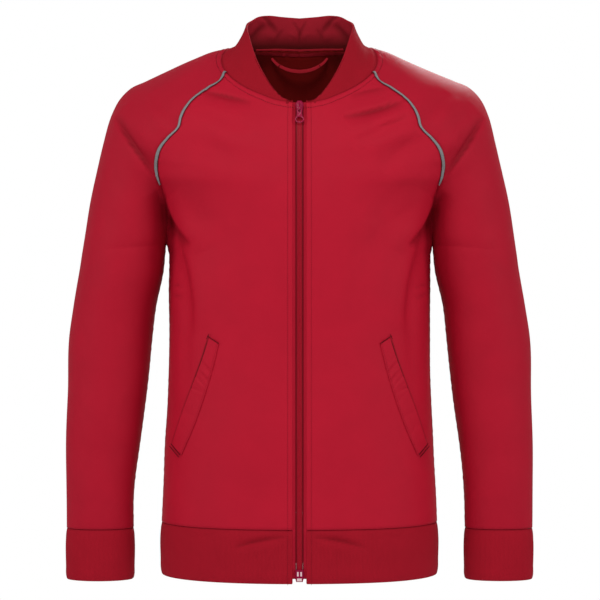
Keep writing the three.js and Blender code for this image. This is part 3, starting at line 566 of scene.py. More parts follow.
def torso_arc(s, v, is_front):
    """Rows of the front or back: s runs from the middle to the outer edge, v from band to neckline."""
    face = -1 if is_front else 1
    row = (front_row if is_front else back_row)(v)
    raglan = raglan_front if is_front else raglan_back
    middle = np.stack([np.full(len(v), ZIP_HALF if is_front else 0.0), row.y, row.z], axis=-1)
    side = points_of(side_seam(np.clip(v, 0, 1)))
    upper = points_of(raglan(np.clip(2 - v, 0, 1)))
    edge = np.where((v <= 1)[:, None], side, upper)
    turn = np.radians(row.turn)
    across, deep = edge[:, 0] - middle[:, 0], edge[:, 1] - middle[:, 1]
    pull = row.outer * np.hypot(across * np.cos(turn), deep * np.sin(turn))
    first = middle + np.stack([row.inner * across, 0 * across, 0 * across], axis=-1)
    second = np.stack([
        edge[:, 0] - pull * np.cos(turn),
        edge[:, 1] + face * pull * np.sin(turn),
        edge[:, 2] - row.lift * (edge[:, 2] - middle[:, 2]),
    ], axis=-1)
    return arc_of(middle, first, second, edge, s)


def torso_points(s, v, is_front):
    """The same rows, with those near the neck drawn to the neckline."""
    near = ease(1 - (2 - v) / NECK_REACH)[:, None, None]
    marks = (0, FRONT_CORNER) if is_front else (len(NECKLINE.x) - 1, BACK_CORNER)
    top = neck_part(*marks, s)
    return torso_arc(s, v, is_front) + near * (top - torso_arc(s, np.array([2.0]), is_front)[0])


def sleeve_arc(s, t, is_front):
    """Rows of half a sleeve: s runs from the inner edge to the line down the outside."""
    face = -1 if is_front else 1
    row = sleeve_row(t)
    outside = points_of(row)
    raglan = raglan_front if is_front else raglan_back
    upper = points_of(raglan(np.clip(t, 0, 1)))
    inside = np.where((t <= 1)[:, None], upper, points_of(arm_seam(np.clip(t, 1, 2))))
    turn = np.radians(row.turn)
    first = inside + np.stack([
        row.start * np.cos(turn),
        -face * row.start * np.sin(turn),
        row.lift * (outside[:, 2] - inside[:, 2]),
    ], axis=-1)
    second = outside + np.stack([0 * turn, face * row.finish, 0 * turn], axis=-1)
    return arc_of(inside, first, second, outside, s)


def sleeve_points(s, t, is_front):
    near = ease(1 - t / NECK_REACH)[:, None, None]
    top = neck_part(FRONT_CORNER if is_front else BACK_CORNER, SHOULDER_POINT, s)
    return sleeve_arc(s, t, is_front) + near * (top - sleeve_arc(s, np.array([0.0]), is_front)[0])


# Grids of outer points, in rows from the foot of a piece or from its seam

class Grid:
    """Outer points of a piece in rows. From the row joined_from on, its first and last columns
    are the same line; where that is 0, the whole piece is a ring."""

    def __init__(self, points, sign, joined_from=None):
        self.points = points
        self.sign = sign
        self.joined_from = joined_from
        self.normals = None

    def own_normals(self):
        points = self.points
        joined = np.zeros(len(points), bool)
        if self.joined_from is not None:
            joined = np.arange(len(points)) >= self.joined_from + (self.joined_from > 0)
        before = np.roll(points, 1, axis=1)
        after = np.roll(points, -1, axis=1)
        before[:, 0] = np.where(joined[:, None], points[:, -2], points[:, 0])
        after[:, -1] = np.where(joined[:, None], points[:, 1], points[:, -1])
        down = np.concatenate([points[:1], points[:-1]])
        up = np.concatenate([points[1:], points[-1:]])
        return unit(np.cross(after - before, up - down) * self.sign)

    def across(self):
        """How far each point is from the first one in its row, along the cloth."""
        steps = np.linalg.norm(np.diff(self.points, axis=1), axis=-1)
        return np.concatenate([np.zeros((len(steps), 1)), np.cumsum(steps, axis=1)], axis=1)

    def along(self):
        """How far each point is from the first row, along the cloth."""
        steps = np.linalg.norm(np.diff(self.points, axis=0), axis=-1)
        return np.concatenate([np.zeros((1, steps.shape[1])), np.cumsum(steps, axis=0)])


def share_normals(grids):
    """Gives every grid outward normals that agree where grids meet."""
    places = np.concatenate([g.points.reshape(-1, 3) for g in grids])
    own = np.concatenate([g.own_normals().reshape(-1, 3) for g in grids])
    _, index = np.unique(np.round(places / 1e-3).astype(np.int64), axis=0, return_inverse=True)
    index = index.reshape(-1)
    sums = np.zeros((index.max() + 1, 3))
    np.add.at(sums, index, own)
    shared = unit(sums)[index]
    start = 0
    for g in grids:
        count = g.points.shape[0] * g.points.shape[1]
        g.normals = shared[start:start + count].reshape(g.points.shape)
        start += count


def mirrored(points):
    return points * np.array([-1, 1, 1])


side_stations = 1 - (1 - np.linspace(0, 1, SIDE_ROWS + 1)) ** ROW_POWER
raglan_stations = np.linspace(0, 1, RAGLAN_ROWS + 1)
torso_stations = np.concatenate([side_stations, 1 + raglan_stations[1:]])
arm_stations = 1 + np.linspace(0, 1, ARM_ROWS + 1)[1:] ** ROW_POWER
sleeve_stations = np.concatenate([raglan_stations, arm_stations])


def torso_columns(count):
    return 1 - (1 - np.linspace(0, 1, count + 1)) ** COLUMN_POWER


def front_grid(side):
    points = torso_points(torso_columns(FRONT_COLUMNS), torso_stations, True)
    return Grid(points if side > 0 else mirrored(points), side)


def back_grid():
    half = torso_points(torso_columns(BACK_COLUMNS), torso_stations, False)
    return Grid(np.concatenate([half[:, :0:-1], mirrored(half)], axis=1), 1)


def sleeve_grid(side):
    shares = np.linspace(0, 1, SLEEVE_COLUMNS + 1)
    forward = sleeve_points(shares, sleeve_stations, True)
    rear = sleeve_points(1 - shares, sleeve_stations, False)
    points = np.concatenate([forward, rear[:, 1:]], axis=1)
    return Grid(points if side > 0 else mirrored(points), -side, joined_from=RAGLAN_ROWS)


def collar_grid():
    corner, rear = neck_shares[FRONT_CORNER], neck_shares[BACK_CORNER]
    shoulder = neck_shares[SHOULDER_POINT]
    sleeve_shares = np.linspace(0, 1, SLEEVE_COLUMNS + 1)
    half = np.concatenate([
        torso_columns(FRONT_COLUMNS) * corner,
        corner + sleeve_shares[1:] * (shoulder - corner),
        rear + sleeve_shares[:-1][::-1] * (shoulder - rear),
        1 + torso_columns(BACK_COLUMNS)[:-1][::-1] * (rear - 1),
    ])
    base, top = points_of(neckline(half)), points_of(collar_top(half))
    height = np.linspace(0, 1, COLLAR_ROWS + 1)[:, None, None]
    inward = (top - base) * np.array([1, 1, 0])
    reach = np.linalg.norm(inward, axis=-1, keepdims=True)
    bow = COLLAR_BOW * (1 - np.exp(-height / 0.06)) * (1 - height)
    left = base + (top - base) * height + unit(inward) * bow * np.minimum(reach / 33, 1)
    return Grid(np.concatenate([left, mirrored(left[:, -2::-1])], axis=1), 1)


def rib_grid(seam, profile, sign, is_ring):
    """A band that hangs from a seam row, out from it as its profile says."""
    before = np.concatenate([seam[-2:-1] if is_ring else seam[:1], seam[:-1]])
    after = np.concatenate([seam[1:], seam[1:2] if is_ring else seam[-1:]])
    outward = unit(np.stack([after[:, 1] - before[:, 1], before[:, 0] - after[:, 0],
                             0 * before[:, 0]], axis=-1))
    drops = np.linspace(0, profile.drop[-1], RIB_ROWS + 1)
    shape = smooth_run(SimpleNamespace(at=profile.drop, out=profile.out))(drops)
    rows = seam[None] + sign * outward[None] * shape.out[:, None, None]
    rows = rows - np.array([0, 0, 1]) * drops[:, None, None]
    return Grid(rows, -sign, 0 if is_ring else None)


# The height of folds, seam sinks and slow unevenness over the cloth

def fold_places(folds, k, x, z):
    """How far along one fold places lie, as its swell from end to end, and how far beside it."""
    run_x, run_z = folds.x1[k] - folds.x0[k], folds.z1[k] - folds.z0[k]
    long = math.hypot(run_x, run_z)
    upward = 1 if run_x >= 0 else -1
    off_x, off_z = x - folds.x0[k], z - folds.z0[k]
    along = np.clip((off_x * run_x + off_z * run_z) / long ** 2, 0, 1)
    aside = (off_z * run_x - off_x * run_z) * upward / long
    swell = np.sin(np.pi * along)
    return swell, aside - folds.bow[k] * swell


def fold_height(x, z, folds):
    """The height of all folds of a table at places seen from the front or from behind."""
    height = np.zeros_like(x)
    for k in range(len(folds.x0)):
        swell, bent = fold_places(folds, k, x, z)
        reach = np.where(bent > 0, folds.over[k], folds.under[k])
        height += folds.depth[k] * swell ** SWELL_POWER * np.exp(-(bent / reach) ** 2)
    return height


def crease_depth(points, folds=FRONT_FOLDS):
    """How deep a place lies in a sharp crease of the front, from 0 to 1: its colour is darkened there as
    painted shade.
    """
    x, z = points[..., 0], points[..., 2]
    depth = np.zeros_like(x)
    for k in range(len(folds.x0)):
        if min(folds.over[k], folds.under[k]) > 3.6 or folds.depth[k] > -0.7:
            continue
        swell, bent = fold_places(folds, k, x, z)
        reach = np.where(bent > 0, folds.over[k], folds.under[k]) * 0.5
        share = min(0.3 + abs(folds.depth[k]) / 6, 1)
        depth = np.maximum(depth, share * swell ** 0.6 * np.exp(-(bent / reach) ** 2))
    return depth * (points[..., 1] < 0)


def unevenness(points):
    x, y, z = points[..., 0], points[..., 1], points[..., 2]
    height = np.zeros_like(x)
    for k in range(len(UNEVEN.across)):
        wave = UNEVEN.across[k] * x + UNEVEN.along[k] * z + UNEVEN.phase[k]
        height += UNEVEN.height[k] * np.sin(wave + 0.02 * y)
    return height


def seam_sink(distance, run):
    """How cloth sinks into a seam, and puckers beside it."""
    ripple = np.sin(run / 2.1) + 0.7 * np.sin(run / 1.27 + 1.3) * np.sin(run / 17)
    return (-SEAM_SINK * np.exp(-(distance / SEAM_SOFT) ** 2)
            + PUCKER * ripple * np.exp(-(distance / PUCKER_REACH) ** 2)
            * (1 - np.exp(-(distance / SEAM_SOFT) ** 2)))


def torso_height(points):
    fade = ease(np.abs(points[..., 1]) / FOLD_FADE)
    x, z = points[..., 0], points[..., 2]
    folds = np.where(points[..., 1] < 0, fold_height(x, z, FRONT_FOLDS), fold_height(x, z, BACK_FOLDS))
    return folds * fade + unevenness(points)


def fold_cloth(grids):
    for g in grids:
        g.points = g.points + g.normals * torso_height(g.points)[..., None]


def sink_seams(g, edges, along_edges):
    """Sinks a grid's named edges: first and last columns, first and last rows."""
    across, along = g.across(), g.along()
    distances = {
        "first": (across, along),
        "last": (across[:, -1:] - across, along),
        "foot": (along, across),
        "top": (along[-1:] - along, across),
    }
    height = np.zeros(g.points.shape[:2])
    for name in edges:
        distance, run = distances[name]
        height += seam_sink(distance, run)
    for name in along_edges:
        distance, run = distances[name]
        place, puff = (ZIP_STITCH, 0.12) if name == "first" else (TOPSTITCH, 0.5)
        height += puff * np.exp(-((distance - place / 2 - 0.4) / 2.4) ** 2)
        height += -(0.3 + puff * 0.9) * np.exp(-((distance - place) / 1.3) ** 2)
    g.points = g.points + g.normals * height[..., None]


# Meshes

def add_object(name, mesh, finishes):
    for finish in finishes:
        mesh.materials.append(finish)
    piece = bpy.data.objects.new(name, mesh)
    bpy.context.scene.collection.objects.link(piece)
    return piece


def mesh_of(name, points, faces, uv, fields=None, same_as=None):
    """A mesh in metres from points in millimetres, with its cut's UV map and named fields.

    faces are arrays, one for each number of corners. same_as gives the point that each one is
    merged with. Fields and the UV map stay apart there.
    """
    corners = np.concatenate([f.ravel() for f in faces])
    used, compact = np.unique(corners if same_as is None else same_as[corners], return_inverse=True)
    compact = compact.reshape(-1)
    rows, start = [], 0
    for f in faces:
        rows += compact[start:start + f.size].reshape(f.shape).tolist()
        start += f.size
    mesh = bpy.data.meshes.new(name)
    mesh.from_pydata((points[used] * MM).tolist(), [], rows)
    layer = mesh.uv_layers.new(name="cut")
    layer.data.foreach_set("uv", (uv[corners] * MM).astype(np.float32).ravel())
    for field, values in (fields or {}).items():
        attribute = mesh.attributes.new(field, "FLOAT", "CORNER")
        attribute.data.foreach_set("value", values[corners].astype(np.float32))
    mesh.polygons.foreach_set("use_smooth", np.ones(len(rows), bool))
    return mesh


def is_inside_out(points, faces):
    a, b, c, d = (points[faces[:, k]] for k in range(4))
    return np.sum(a * np.cross(b, c)) + np.sum(a * np.cross(c, d)) < 0


def borders(g):
    """The loops of a grid's border, as rows and columns, in the order of its faces."""
    rows, columns = g.points.shape[:2]
    wide, tall = np.arange(columns), np.arange(rows)
    if g.joined_from is None:
        return [(np.concatenate([0 * wide[:-1], tall[:-1], 0 * wide[1:] + rows - 1, tall[:0:-1]]),
                 np.concatenate([wide[:-1], 0 * tall[:-1] + columns - 1, wide[:0:-1], 0 * tall[1:]]))]
    top = (0 * wide[1:] + rows - 1, wide[:0:-1])
    open_rows = tall[:g.joined_from]
    if not len(open_rows):
        return [(0 * wide[:-1], wide[:-1]), top]
    return [(np.concatenate([0 * wide[:-1], open_rows, [g.joined_from], open_rows[:0:-1]]),
             np.concatenate([wide[:-1], 0 * open_rows + columns - 1, [0], 0 * open_rows[1:]])), top]


def shell(name, g, thick, finishes, roll=ROLL, rolls=2, inner_height=None, even=False, fields=None):
    """A closed wall between a grid's points and the same points moved inward, with rolled rims.

    The first finish is for the outer side and the rims, and the second for the inner side.
    """
    points, normals = g.points, g.normals
    rows, columns = points.shape[:2]
    roll = np.broadcast_to(roll, (rows, columns))[..., None]
    off = SEAM_GAP / 2 + roll
    outer = points.copy()
    outer[0] += unit(points[1] - points[0]) * off[0]
    outer[-1] += unit(points[-2] - points[-1]) * off[-1]
    open_rows = rows if g.joined_from is None else g.joined_from
    if open_rows:
        near, far = points[:open_rows, :2], points[:open_rows, -2:]
        outer[:open_rows, 0] += unit(near[:, 1] - near[:, 0]) * off[:open_rows, 0]
        outer[:open_rows, -1] += unit(far[:, 0] - far[:, 1]) * off[:open_rows, -1]
    if g.joined_from:
        k = g.joined_from
        outer[k, 0] += unit(points[k + 1, 0] - points[k, 0]) * off[k, 0]
        outer[k, -1] = outer[k, 0]
    inner = outer - normals * thick
    if inner_height is not None:
        inner = inner - normals * inner_height[..., None]
    count = rows * columns
    ids = np.arange(count).reshape(rows, columns)
    a, b, c, d = ids[:-1, :-1], ids[:-1, 1:], ids[1:, 1:], ids[1:, :-1]
    skin = np.stack([a, b, c, d], axis=-1).reshape(-1, 4)
    across, along = g.across(), g.along()
    if even:
        across = np.broadcast_to(across[rows // 2], across.shape)
    cut = [np.stack([across, along], axis=-1).reshape(-1, 2)] * 2
    values = {field: [v.reshape(-1)] * 2 for field, v in (fields or {}).items()}
    places = [outer.reshape(-1, 3), inner.reshape(-1, 3)]
    parts, start = [], 2 * count
    turns = np.arange(1, 2 * rolls) * math.pi / (2 * rolls)
    for rim_rows, rim_columns in borders(g):
        loop = ids[rim_rows, rim_columns]
        edge, rear = outer[rim_rows, rim_columns], inner[rim_rows, rim_columns]
        away = unit(np.cross(np.roll(edge, -1, axis=0) - np.roll(edge, 1, axis=0),
                             normals[rim_rows, rim_columns])) * g.sign
        middle, half = (edge + rear) / 2, (edge - rear) / 2
        rings = [loop]
        for turn in turns:
            bulge = roll[rim_rows, rim_columns] * math.sin(turn)
            places.append(middle + half * math.cos(turn) + away * bulge)
            cut.append(cut[0][loop])
            for field in values:
                values[field].append(values[field][0][loop])
            rings.append(start + np.arange(len(loop)))
            start += len(loop)
        rings.append(loop + count)
        for this, that in zip(rings[:-1], rings[1:]):
            parts.append(np.stack([np.roll(this, -1), this, that, np.roll(that, -1)], axis=-1))
    faces = np.concatenate([skin, skin[:, ::-1] + count, *parts])
    kind = np.zeros(len(faces), np.int32)
    kind[len(skin):2 * len(skin)] = len(finishes) - 1
    places, cut = np.concatenate(places), np.concatenate(cut)
    if is_inside_out(places, faces):
        faces = faces[:, ::-1]
    same = np.arange(len(places))
    if g.joined_from is not None:
        same[ids[g.joined_from:, -1]] = ids[g.joined_from:, 0]
        same[ids[g.joined_from:, -1] + count] = ids[g.joined_from:, 0] + count
    whole = {field: np.concatenate(v) for field, v in values.items()}
    mesh = mesh_of(name, places, [faces], cut, whole, same)
    mesh.polygons.foreach_set("material_index", kind)
    return add_object(name, mesh, finishes)


def carried(name, places, aside, out, sections, finishes, fields=None):
    """A strip whose closed section, in pairs of across and out, is carried along places."""
    sections = np.broadcast_to(sections, (len(places), *np.shape(sections)[-2:]))
    rings = places[:, None] + aside[:, None] * sections[..., :1] + out[:, None] * sections[..., 1:]
    count, around = rings.shape[:2]
    ends = rings[[0, -1]].mean(axis=1)
    points = np.concatenate([np.concatenate([rings, rings[:, :1]], axis=1).reshape(-1, 3), ends])
    ids = np.arange(count * (around + 1)).reshape(count, around + 1)
    same = np.arange(len(points))
    same[ids[:, -1]] = ids[:, 0]
    a, b, c, d = ids[:-1, :-1], ids[:-1, 1:], ids[1:, 1:], ids[1:, :-1]
    quads = np.stack([a, b, c, d], axis=-1).reshape(-1, 4)
    caps = np.concatenate([
        np.stack([ids[0, 1:], ids[0, :-1], 0 * ids[0, 1:] + len(points) - 2], axis=-1),
        np.stack([ids[-1, :-1], ids[-1, 1:], 0 * ids[0, 1:] + len(points) - 1], axis=-1),
    ])
    if is_inside_out(points, quads):
        quads, caps = quads[:, ::-1], caps[:, ::-1]
    run = np.concatenate([[0], np.cumsum(np.linalg.norm(np.diff(places, axis=0), axis=1))])

    def spread(values):
        values = np.broadcast_to(values, sections.shape[:2])
        values = np.concatenate([values, values[:, :1]], axis=1).reshape(-1)
        return np.concatenate([values, [0, 0]])

    uv = np.stack([spread(sections[..., 0]), spread(run[:, None])], axis=-1)
    uv[-1, 1] = run[-1]
    whole = {field: spread(values) for field, values in (fields or {}).items()}
    return add_object(name, mesh_of(name, points, [quads, caps], uv, whole, same), finishes)


def rounded_block(across0, across1, out0, out1, radius, steps=4):
    """A rectangle with rounded corners, as pairs of across and out."""
    turns = np.linspace(0, math.pi / 2, steps)
    corners = [(across1, out1, 0), (across0, out1, 1), (across0, out0, 2), (across1, out0, 3)]
    rows = []
    for across, out, quarter in corners:
        turn = turns + quarter * math.pi / 2
        middle_across = across + radius * (-1 if quarter in (0, 3) else 1)
        middle_out = out + radius * (-1 if quarter in (0, 1) else 1)
        rows.append(np.stack([middle_across + radius * np.cos(turn),
                              middle_out + radius * np.sin(turn)], axis=-1))
    return np.concatenate(rows)


def line_on(g, edge, distance, lift=0.0):
    """Places and normals along a grid's edge, at a distance from it over the cloth."""
    across, along = g.across(), g.along()
    raised = g.points + g.normals * lift
    both = np.concatenate([raised, g.normals], axis=-1)
    if edge in ("foot", "top"):
        run = along if edge == "foot" else (along[-1:] - along)[::-1]
        rows = both if edge == "foot" else both[::-1]
        found = [[np.interp(distance, run[:, j], rows[:, j, k]) for k in range(6)]
                 for j in range(rows.shape[1])]
    else:
        run = across if edge == "first" else (across[:, -1:] - across)[:, ::-1]
        rows = both if edge == "first" else both[:, ::-1]
        found = [[np.interp(distance, run[i], rows[i, :, k]) for k in range(6)]
                 for i in range(rows.shape[0])]
    found = np.array(found)
    return found[:, :3], unit(found[:, 3:])


# Node trees

class Tree:
    """Adds nodes to a tree: type first, then settings, then values or links of its inputs."""

    def __init__(self, tree):
        self.tree = tree

    def node(self, kind, settings=None, **inputs):
        made = self.tree.nodes.new(kind)
        for setting, value in (settings or {}).items():
            setattr(made, setting, value)
        for name, value in inputs.items():
            self.plug(made, name.replace("_", " "), value)
        return made

    def plug(self, node, name, value):
        target = node.inputs[int(name)] if name.isdigit() else next(
            i for i in node.inputs if i.name == name and i.enabled)
        if isinstance(value, Value):
            value = value.socket
        if isinstance(value, bpy.types.NodeSocket):
            self.tree.links.new(value, target)
        else:
            target.default_value = value


class Value:
    """A number's socket that takes part in Python arithmetic as Math nodes."""

    def __init__(self, tree, socket):
        self.tree = tree
        self.socket = socket

    def math(self, operation, *others):
        node = self.tree.node("ShaderNodeMath", {"operation": operation})
        for k, value in enumerate(others):
            self.tree.plug(node, str(k), value)
        return Value(self.tree, node.outputs[0])

    def __add__(self, other):
        return self.math("ADD", self, other)

    __radd__ = __add__

    def __sub__(self, other):
        return self.math("SUBTRACT", self, other)

    def __rsub__(self, other):
        return self.math("SUBTRACT", other, self)

    def __mul__(self, other):
        return self.math("MULTIPLY", self, other)

    __rmul__ = __mul__

    def __truediv__(self, other):
        return self.math("DIVIDE", self, other)

    def __pow__(self, other):
        return self.math("POWER", self, other)

    def sine(self):
        return self.math("SINE", self)

    def size(self):
        return self.math("ABSOLUTE", self)

    def bell(self, reach):
        """1 where the value is 0, falling away over a reach on both sides."""
        ratio = self / reach
        return self.math("EXPONENT", ratio * ratio * -1)


class Finish(Tree):
    """A material of one Principled shader, with what varies over it as node maths."""

    def __init__(self, name, **constants):
        self.material = bpy.data.materials.new(name)
        self.material.use_nodes = True
        super().__init__(self.material.node_tree)
        self.shader = self.tree.nodes["Principled BSDF"]
        for socket, value in constants.items():
            self.plug(self.shader, socket.replace("_", " "), value)

    def field(self, name):
        node = self.node("ShaderNodeAttribute", {"attribute_name": name})
        return Value(self, node.outputs["Fac"])

    def cut(self):
        """Places on the cut, in metres: across it and along it."""
        uv = self.node("ShaderNodeUVMap", {"uv_map": "cut"})
        parts = self.node("ShaderNodeSeparateXYZ", Vector=uv.outputs[0])
        return Value(self, parts.outputs[0]), Value(self, parts.outputs[1])

    def place(self):
        return self.node("ShaderNodeTexCoord").outputs["Object"]

    def noise(self, vector, scale, detail=2.0):
        node = self.node("ShaderNodeTexNoise", Vector=vector, Scale=scale, Detail=detail)
        return Value(self, node.outputs[0])

    def blend(self, share, low, high):
        node = self.node("ShaderNodeMix", {"data_type": "RGBA"})
        self.plug(node, "Factor", share)
        colours = [i for i in node.inputs if i.type == "RGBA"]
        for socket, colour in zip(colours, (low, high)):
            if isinstance(colour, bpy.types.NodeSocket):
                self.tree.links.new(colour, socket)
            else:
                socket.default_value = colour
        return next(o for o in node.outputs if o.type == "RGBA")

    def wear(self, colour=None, roughness=None, height=None, strength=1.0):
        """Feeds the shader what varies: colour, roughness, and a height in metres."""
        if colour is not None:
            self.plug(self.shader, "Base Color", colour)
        if roughness is not None:
            self.plug(self.shader, "Roughness", roughness)
        if height is not None:
            bump = self.node("ShaderNodeBump", Strength=strength, Distance=1.0, Height=height)
            self.plug(self.shader, "Normal", bump.outputs[0])
        return self.material


def red(r, g, b):
    """A colour as a screen shows it, 0 to 255, as the linear colour that a shader takes."""
    linear = [c / 12.92 if c <= 0.04045 else ((c + 0.055) / 1.055) ** 2.4
              for c in (r / 255, g / 255, b / 255)]
    return (*linear, 1.0)


# Finishes. What a camera sees as one red has several parts here: the knit's wales, its slight mottling, and
# painted shade beside the seams and in the creases.

TAU = 2 * math.pi


def tricot_finish(name, colour, field=None):
    f = Finish(name, Sheen_Weight=0.07, Sheen_Roughness=0.4, Sheen_Tint=red(255, 50, 70),
               Specular_IOR_Level=0.09)
    across, along = f.cut()
    place = f.place()
    wale = (across * (TAU / 0.00085)).sine()
    course = (along * (TAU / 0.0007) + wale * 0.6).sine()
    mottle = f.noise(place, 26, 4) - 0.5
    speck = f.noise(place, 900, 2) - 0.5
    # Painted shade: the cloth darkens within a few millimetres of its seams; the mottling is the knit's own.
    seam = f.field("seam").bell(2.2)
    shade = mottle * 0.5 + speck * 0.34 + wale * 0.05 - seam * 0.35 + 0.5
    darker = tuple(c * 0.84 for c in colour[:3]) + (1.0,)
    lighter = tuple(min(c * 1.17, 1) for c in colour[:3]) + (1.0,)
    tone = f.blend(shade, darker, lighter)
    # Painted shade: the cloth darkens in the sharp creases of the front.
    tone = f.blend(f.field("crease_shade") * 0.55, tone, red(92, 5, 12))
    if field:
        # Painted shade: a dark line along each welt's open edge stands in for the shadowed gap under it; the
        # front has no opening there.
        slit_shade = (f.field("mouth") - 1.3).bell(1.5) * f.field("opening")
        tone = f.blend(slit_shade, tone, red(66, 4, 2))
    height = wale * 0.00003 + course * 0.00002 + speck * 0.00008 + mottle * 0.0002
    return f.wear(tone, mottle * 0.16 + speck * 0.1 + 0.58, height, 0.8)


def rib_finish(name, colour, pitch, is_inner=False):
    f = Finish(name, Sheen_Weight=0.05, Sheen_Roughness=0.5, Sheen_Tint=red(255, 70, 90),
               Specular_IOR_Level=0.08)
    across, along = f.cut()
    place = f.place()
    wale = (across * (TAU / pitch)).sine()
    round_wale = wale.size() * 0.6 + wale * 0.4
    course = (along * (TAU / 0.0009) + wale * 1.3).sine()
    mottle = f.noise(place, 40, 3) - 0.5
    speck = f.noise(place, 1400, 2) - 0.5
    darker = tuple(c * 0.7 for c in colour[:3]) + (1.0,)
    lighter = tuple(min(c * 1.22, 1) for c in colour[:3]) + (1.0,)
    # Painted shade: the rib darkens beside its seam.
    seam = f.field("seam").bell(1.8)
    tone = f.blend(wale * 0.2 + mottle * 0.25 + speck * 0.3 + course * 0.06 - seam * 0.4 + 0.56,
                   darker, lighter)
    # Painted shade: the rib darkens in the band's creases.
    tone = f.blend(f.field("crease_shade") * 0.5, tone, red(80, 5, 12))
    # Painted shade: the collar's inner side darkens towards its foot, and in its creases.
    if is_inner:
        deep = (0.026 - along) * 52
        deep = deep.math("MINIMUM", deep.math("MAXIMUM", deep, 0.0), 1.0)
        tone = f.blend(deep * 0.9, tone, red(62, 5, 3))
        tone = f.blend(f.field("sunk_shade") * 0.22, tone, red(62, 5, 3))
    height = wale * 0.00008 + round_wale * 0.00002 + course * 0.00003 + speck * 0.00007
    return f.wear(tone, speck * 0.16 + 0.8, height, 0.9)


def inside_finish():
    f = Finish("tricot_inside", Sheen_Weight=0.05, Specular_IOR_Level=0.15)
    across, along = f.cut()
    loops = (across * (TAU / 0.0011)).sine() * (along * (TAU / 0.0012)).sine()
    speck = f.noise(f.place(), 700, 2) - 0.5
    # Painted shade: the inner side is the same tricot, coloured darker and browner as if in shade.
    tone = f.blend(loops * 0.2 + speck * 0.5 + 0.5, red(112, 3, 1), red(136, 6, 3))
    return f.wear(tone, speck * 0.1 + 0.86, loops * 0.00005 + speck * 0.00006, 0.8)


def piping_finish():
    f = Finish("piping_satin", Sheen_Weight=0.1, Specular_IOR_Level=0.5)
    across, along = f.cut()
    place = f.place()
    twill = (along * (TAU / 0.0011) + across * (TAU / 0.0016)).sine()
    speck = f.noise(place, 1100, 2) - 0.5
    slow = f.noise(place, 120, 2) - 0.5
    # Painted shade: the piping's edges and underside are darkened to a dark red.
    edge = (f.field("across").size() - 0.72) * 6
    edge = edge.math("MINIMUM", edge.math("MAXIMUM", edge, 0.0), 1.0)
    tone = f.blend(twill * 0.22 + speck * 0.4 + slow * 0.3 + 0.5, red(100, 100, 103), red(136, 136, 138))
    tone = f.blend(edge, tone, red(58, 22, 28))
    return f.wear(tone, speck * 0.2 + 0.44, twill * 0.00006 + speck * 0.00004, 0.8)


def tape_finish(name, colour, chevron, groove_shade=None):
    f = Finish(name, Specular_IOR_Level=0.08)
    across, along = f.cut()
    speck = f.noise(f.place(), 900, 2) - 0.5
    twill = (along * (TAU / 0.0013) + across.size() * (TAU / 0.0013) * chevron).sine()
    warp = (across * (TAU / 0.0009)).sine()
    darker = tuple(c * 0.72 for c in colour[:3]) + (1.0,)
    lighter = tuple(min(c * 1.2, 1) for c in colour[:3]) + (1.0,)
    tone = f.blend(twill * 0.25 + warp * 0.1 + speck * 0.35 + 0.55, darker, lighter)
    # Painted shade: a dark line where the tape meets the chain.
    if groove_shade:
        tone = f.blend((across.size() - groove_shade).bell(0.0011) * 0.85, tone, red(78, 3, 9))
    return f.wear(tone, speck * 0.15 + 0.74, twill * 0.00008 + warp * 0.00004, 0.9)


def coil_finish():
    f = Finish("coil_nylon", Specular_IOR_Level=0.12)
    place = f.place()
    speck = f.noise(place, 500, 2) - 0.5
    across = f.cut()[0]
    tone = f.blend(speck + 0.5, red(150, 8, 28), red(180, 16, 44))
    # Painted shade: a dark line at the chain's edges, where it meets the tapes.
    tone = f.blend((across.size() - CHAIN_HALF * MM).bell(0.0009) * 0.85, tone, red(78, 3, 9))
    return f.wear(tone, speck * 0.2 + 0.42, speck * 0.00005, 0.6)


def lacquer_finish(name, highlights=()):
    """Lacquered metal, with paler fields as painted highlights: middle across and up, and their halves, in
    metres.
    """
    f = Finish(name, Coat_Weight=0.05, Coat_Roughness=0.12, Specular_IOR_Level=0.1)
    place = f.place()
    pit = f.noise(place, 420, 3) - 0.5
    slow = f.noise(place, 90, 2) - 0.5
    f.plug(f.shader, "Metallic", slow * 0.1 + 0.1)
    tone = f.blend(slow * 0.9 + pit * 0.4 + 0.5, red(120, 1, 42), red(154, 4, 58))
    parts = f.node("ShaderNodeSeparateXYZ", Vector=place)
    across, up = Value(f, parts.outputs[0]), Value(f, parts.outputs[2])
    for middle_x, middle_z, half_x, half_z in highlights:
        beside = ((across - middle_x).size() * -1 + half_x) * 2500
        above = ((up - middle_z).size() * -1 + half_z) * 2500
        shown = beside.math("MINIMUM", beside, above)
        shown = shown.math("MINIMUM", shown.math("MAXIMUM", shown, 0.0), 1.0)
        tone = f.blend(shown, tone, red(226, 196, 200))
    return f.wear(tone, pit * 0.16 + slow * 0.14 + 0.42, pit * 0.00004, 0.5)


def thread_finish(name, low, high):
    f = Finish(name, Specular_IOR_Level=0.1)
    place = f.place()
    ply = f.noise(place, 2600, 2) - 0.5
    tone = f.blend(ply * 1.2 + 0.5, low, high)
    return f.wear(tone, ply * 0.3 + 0.55, ply * 0.00006, 0.7)


BODY_RED = red(176, 19, 43)
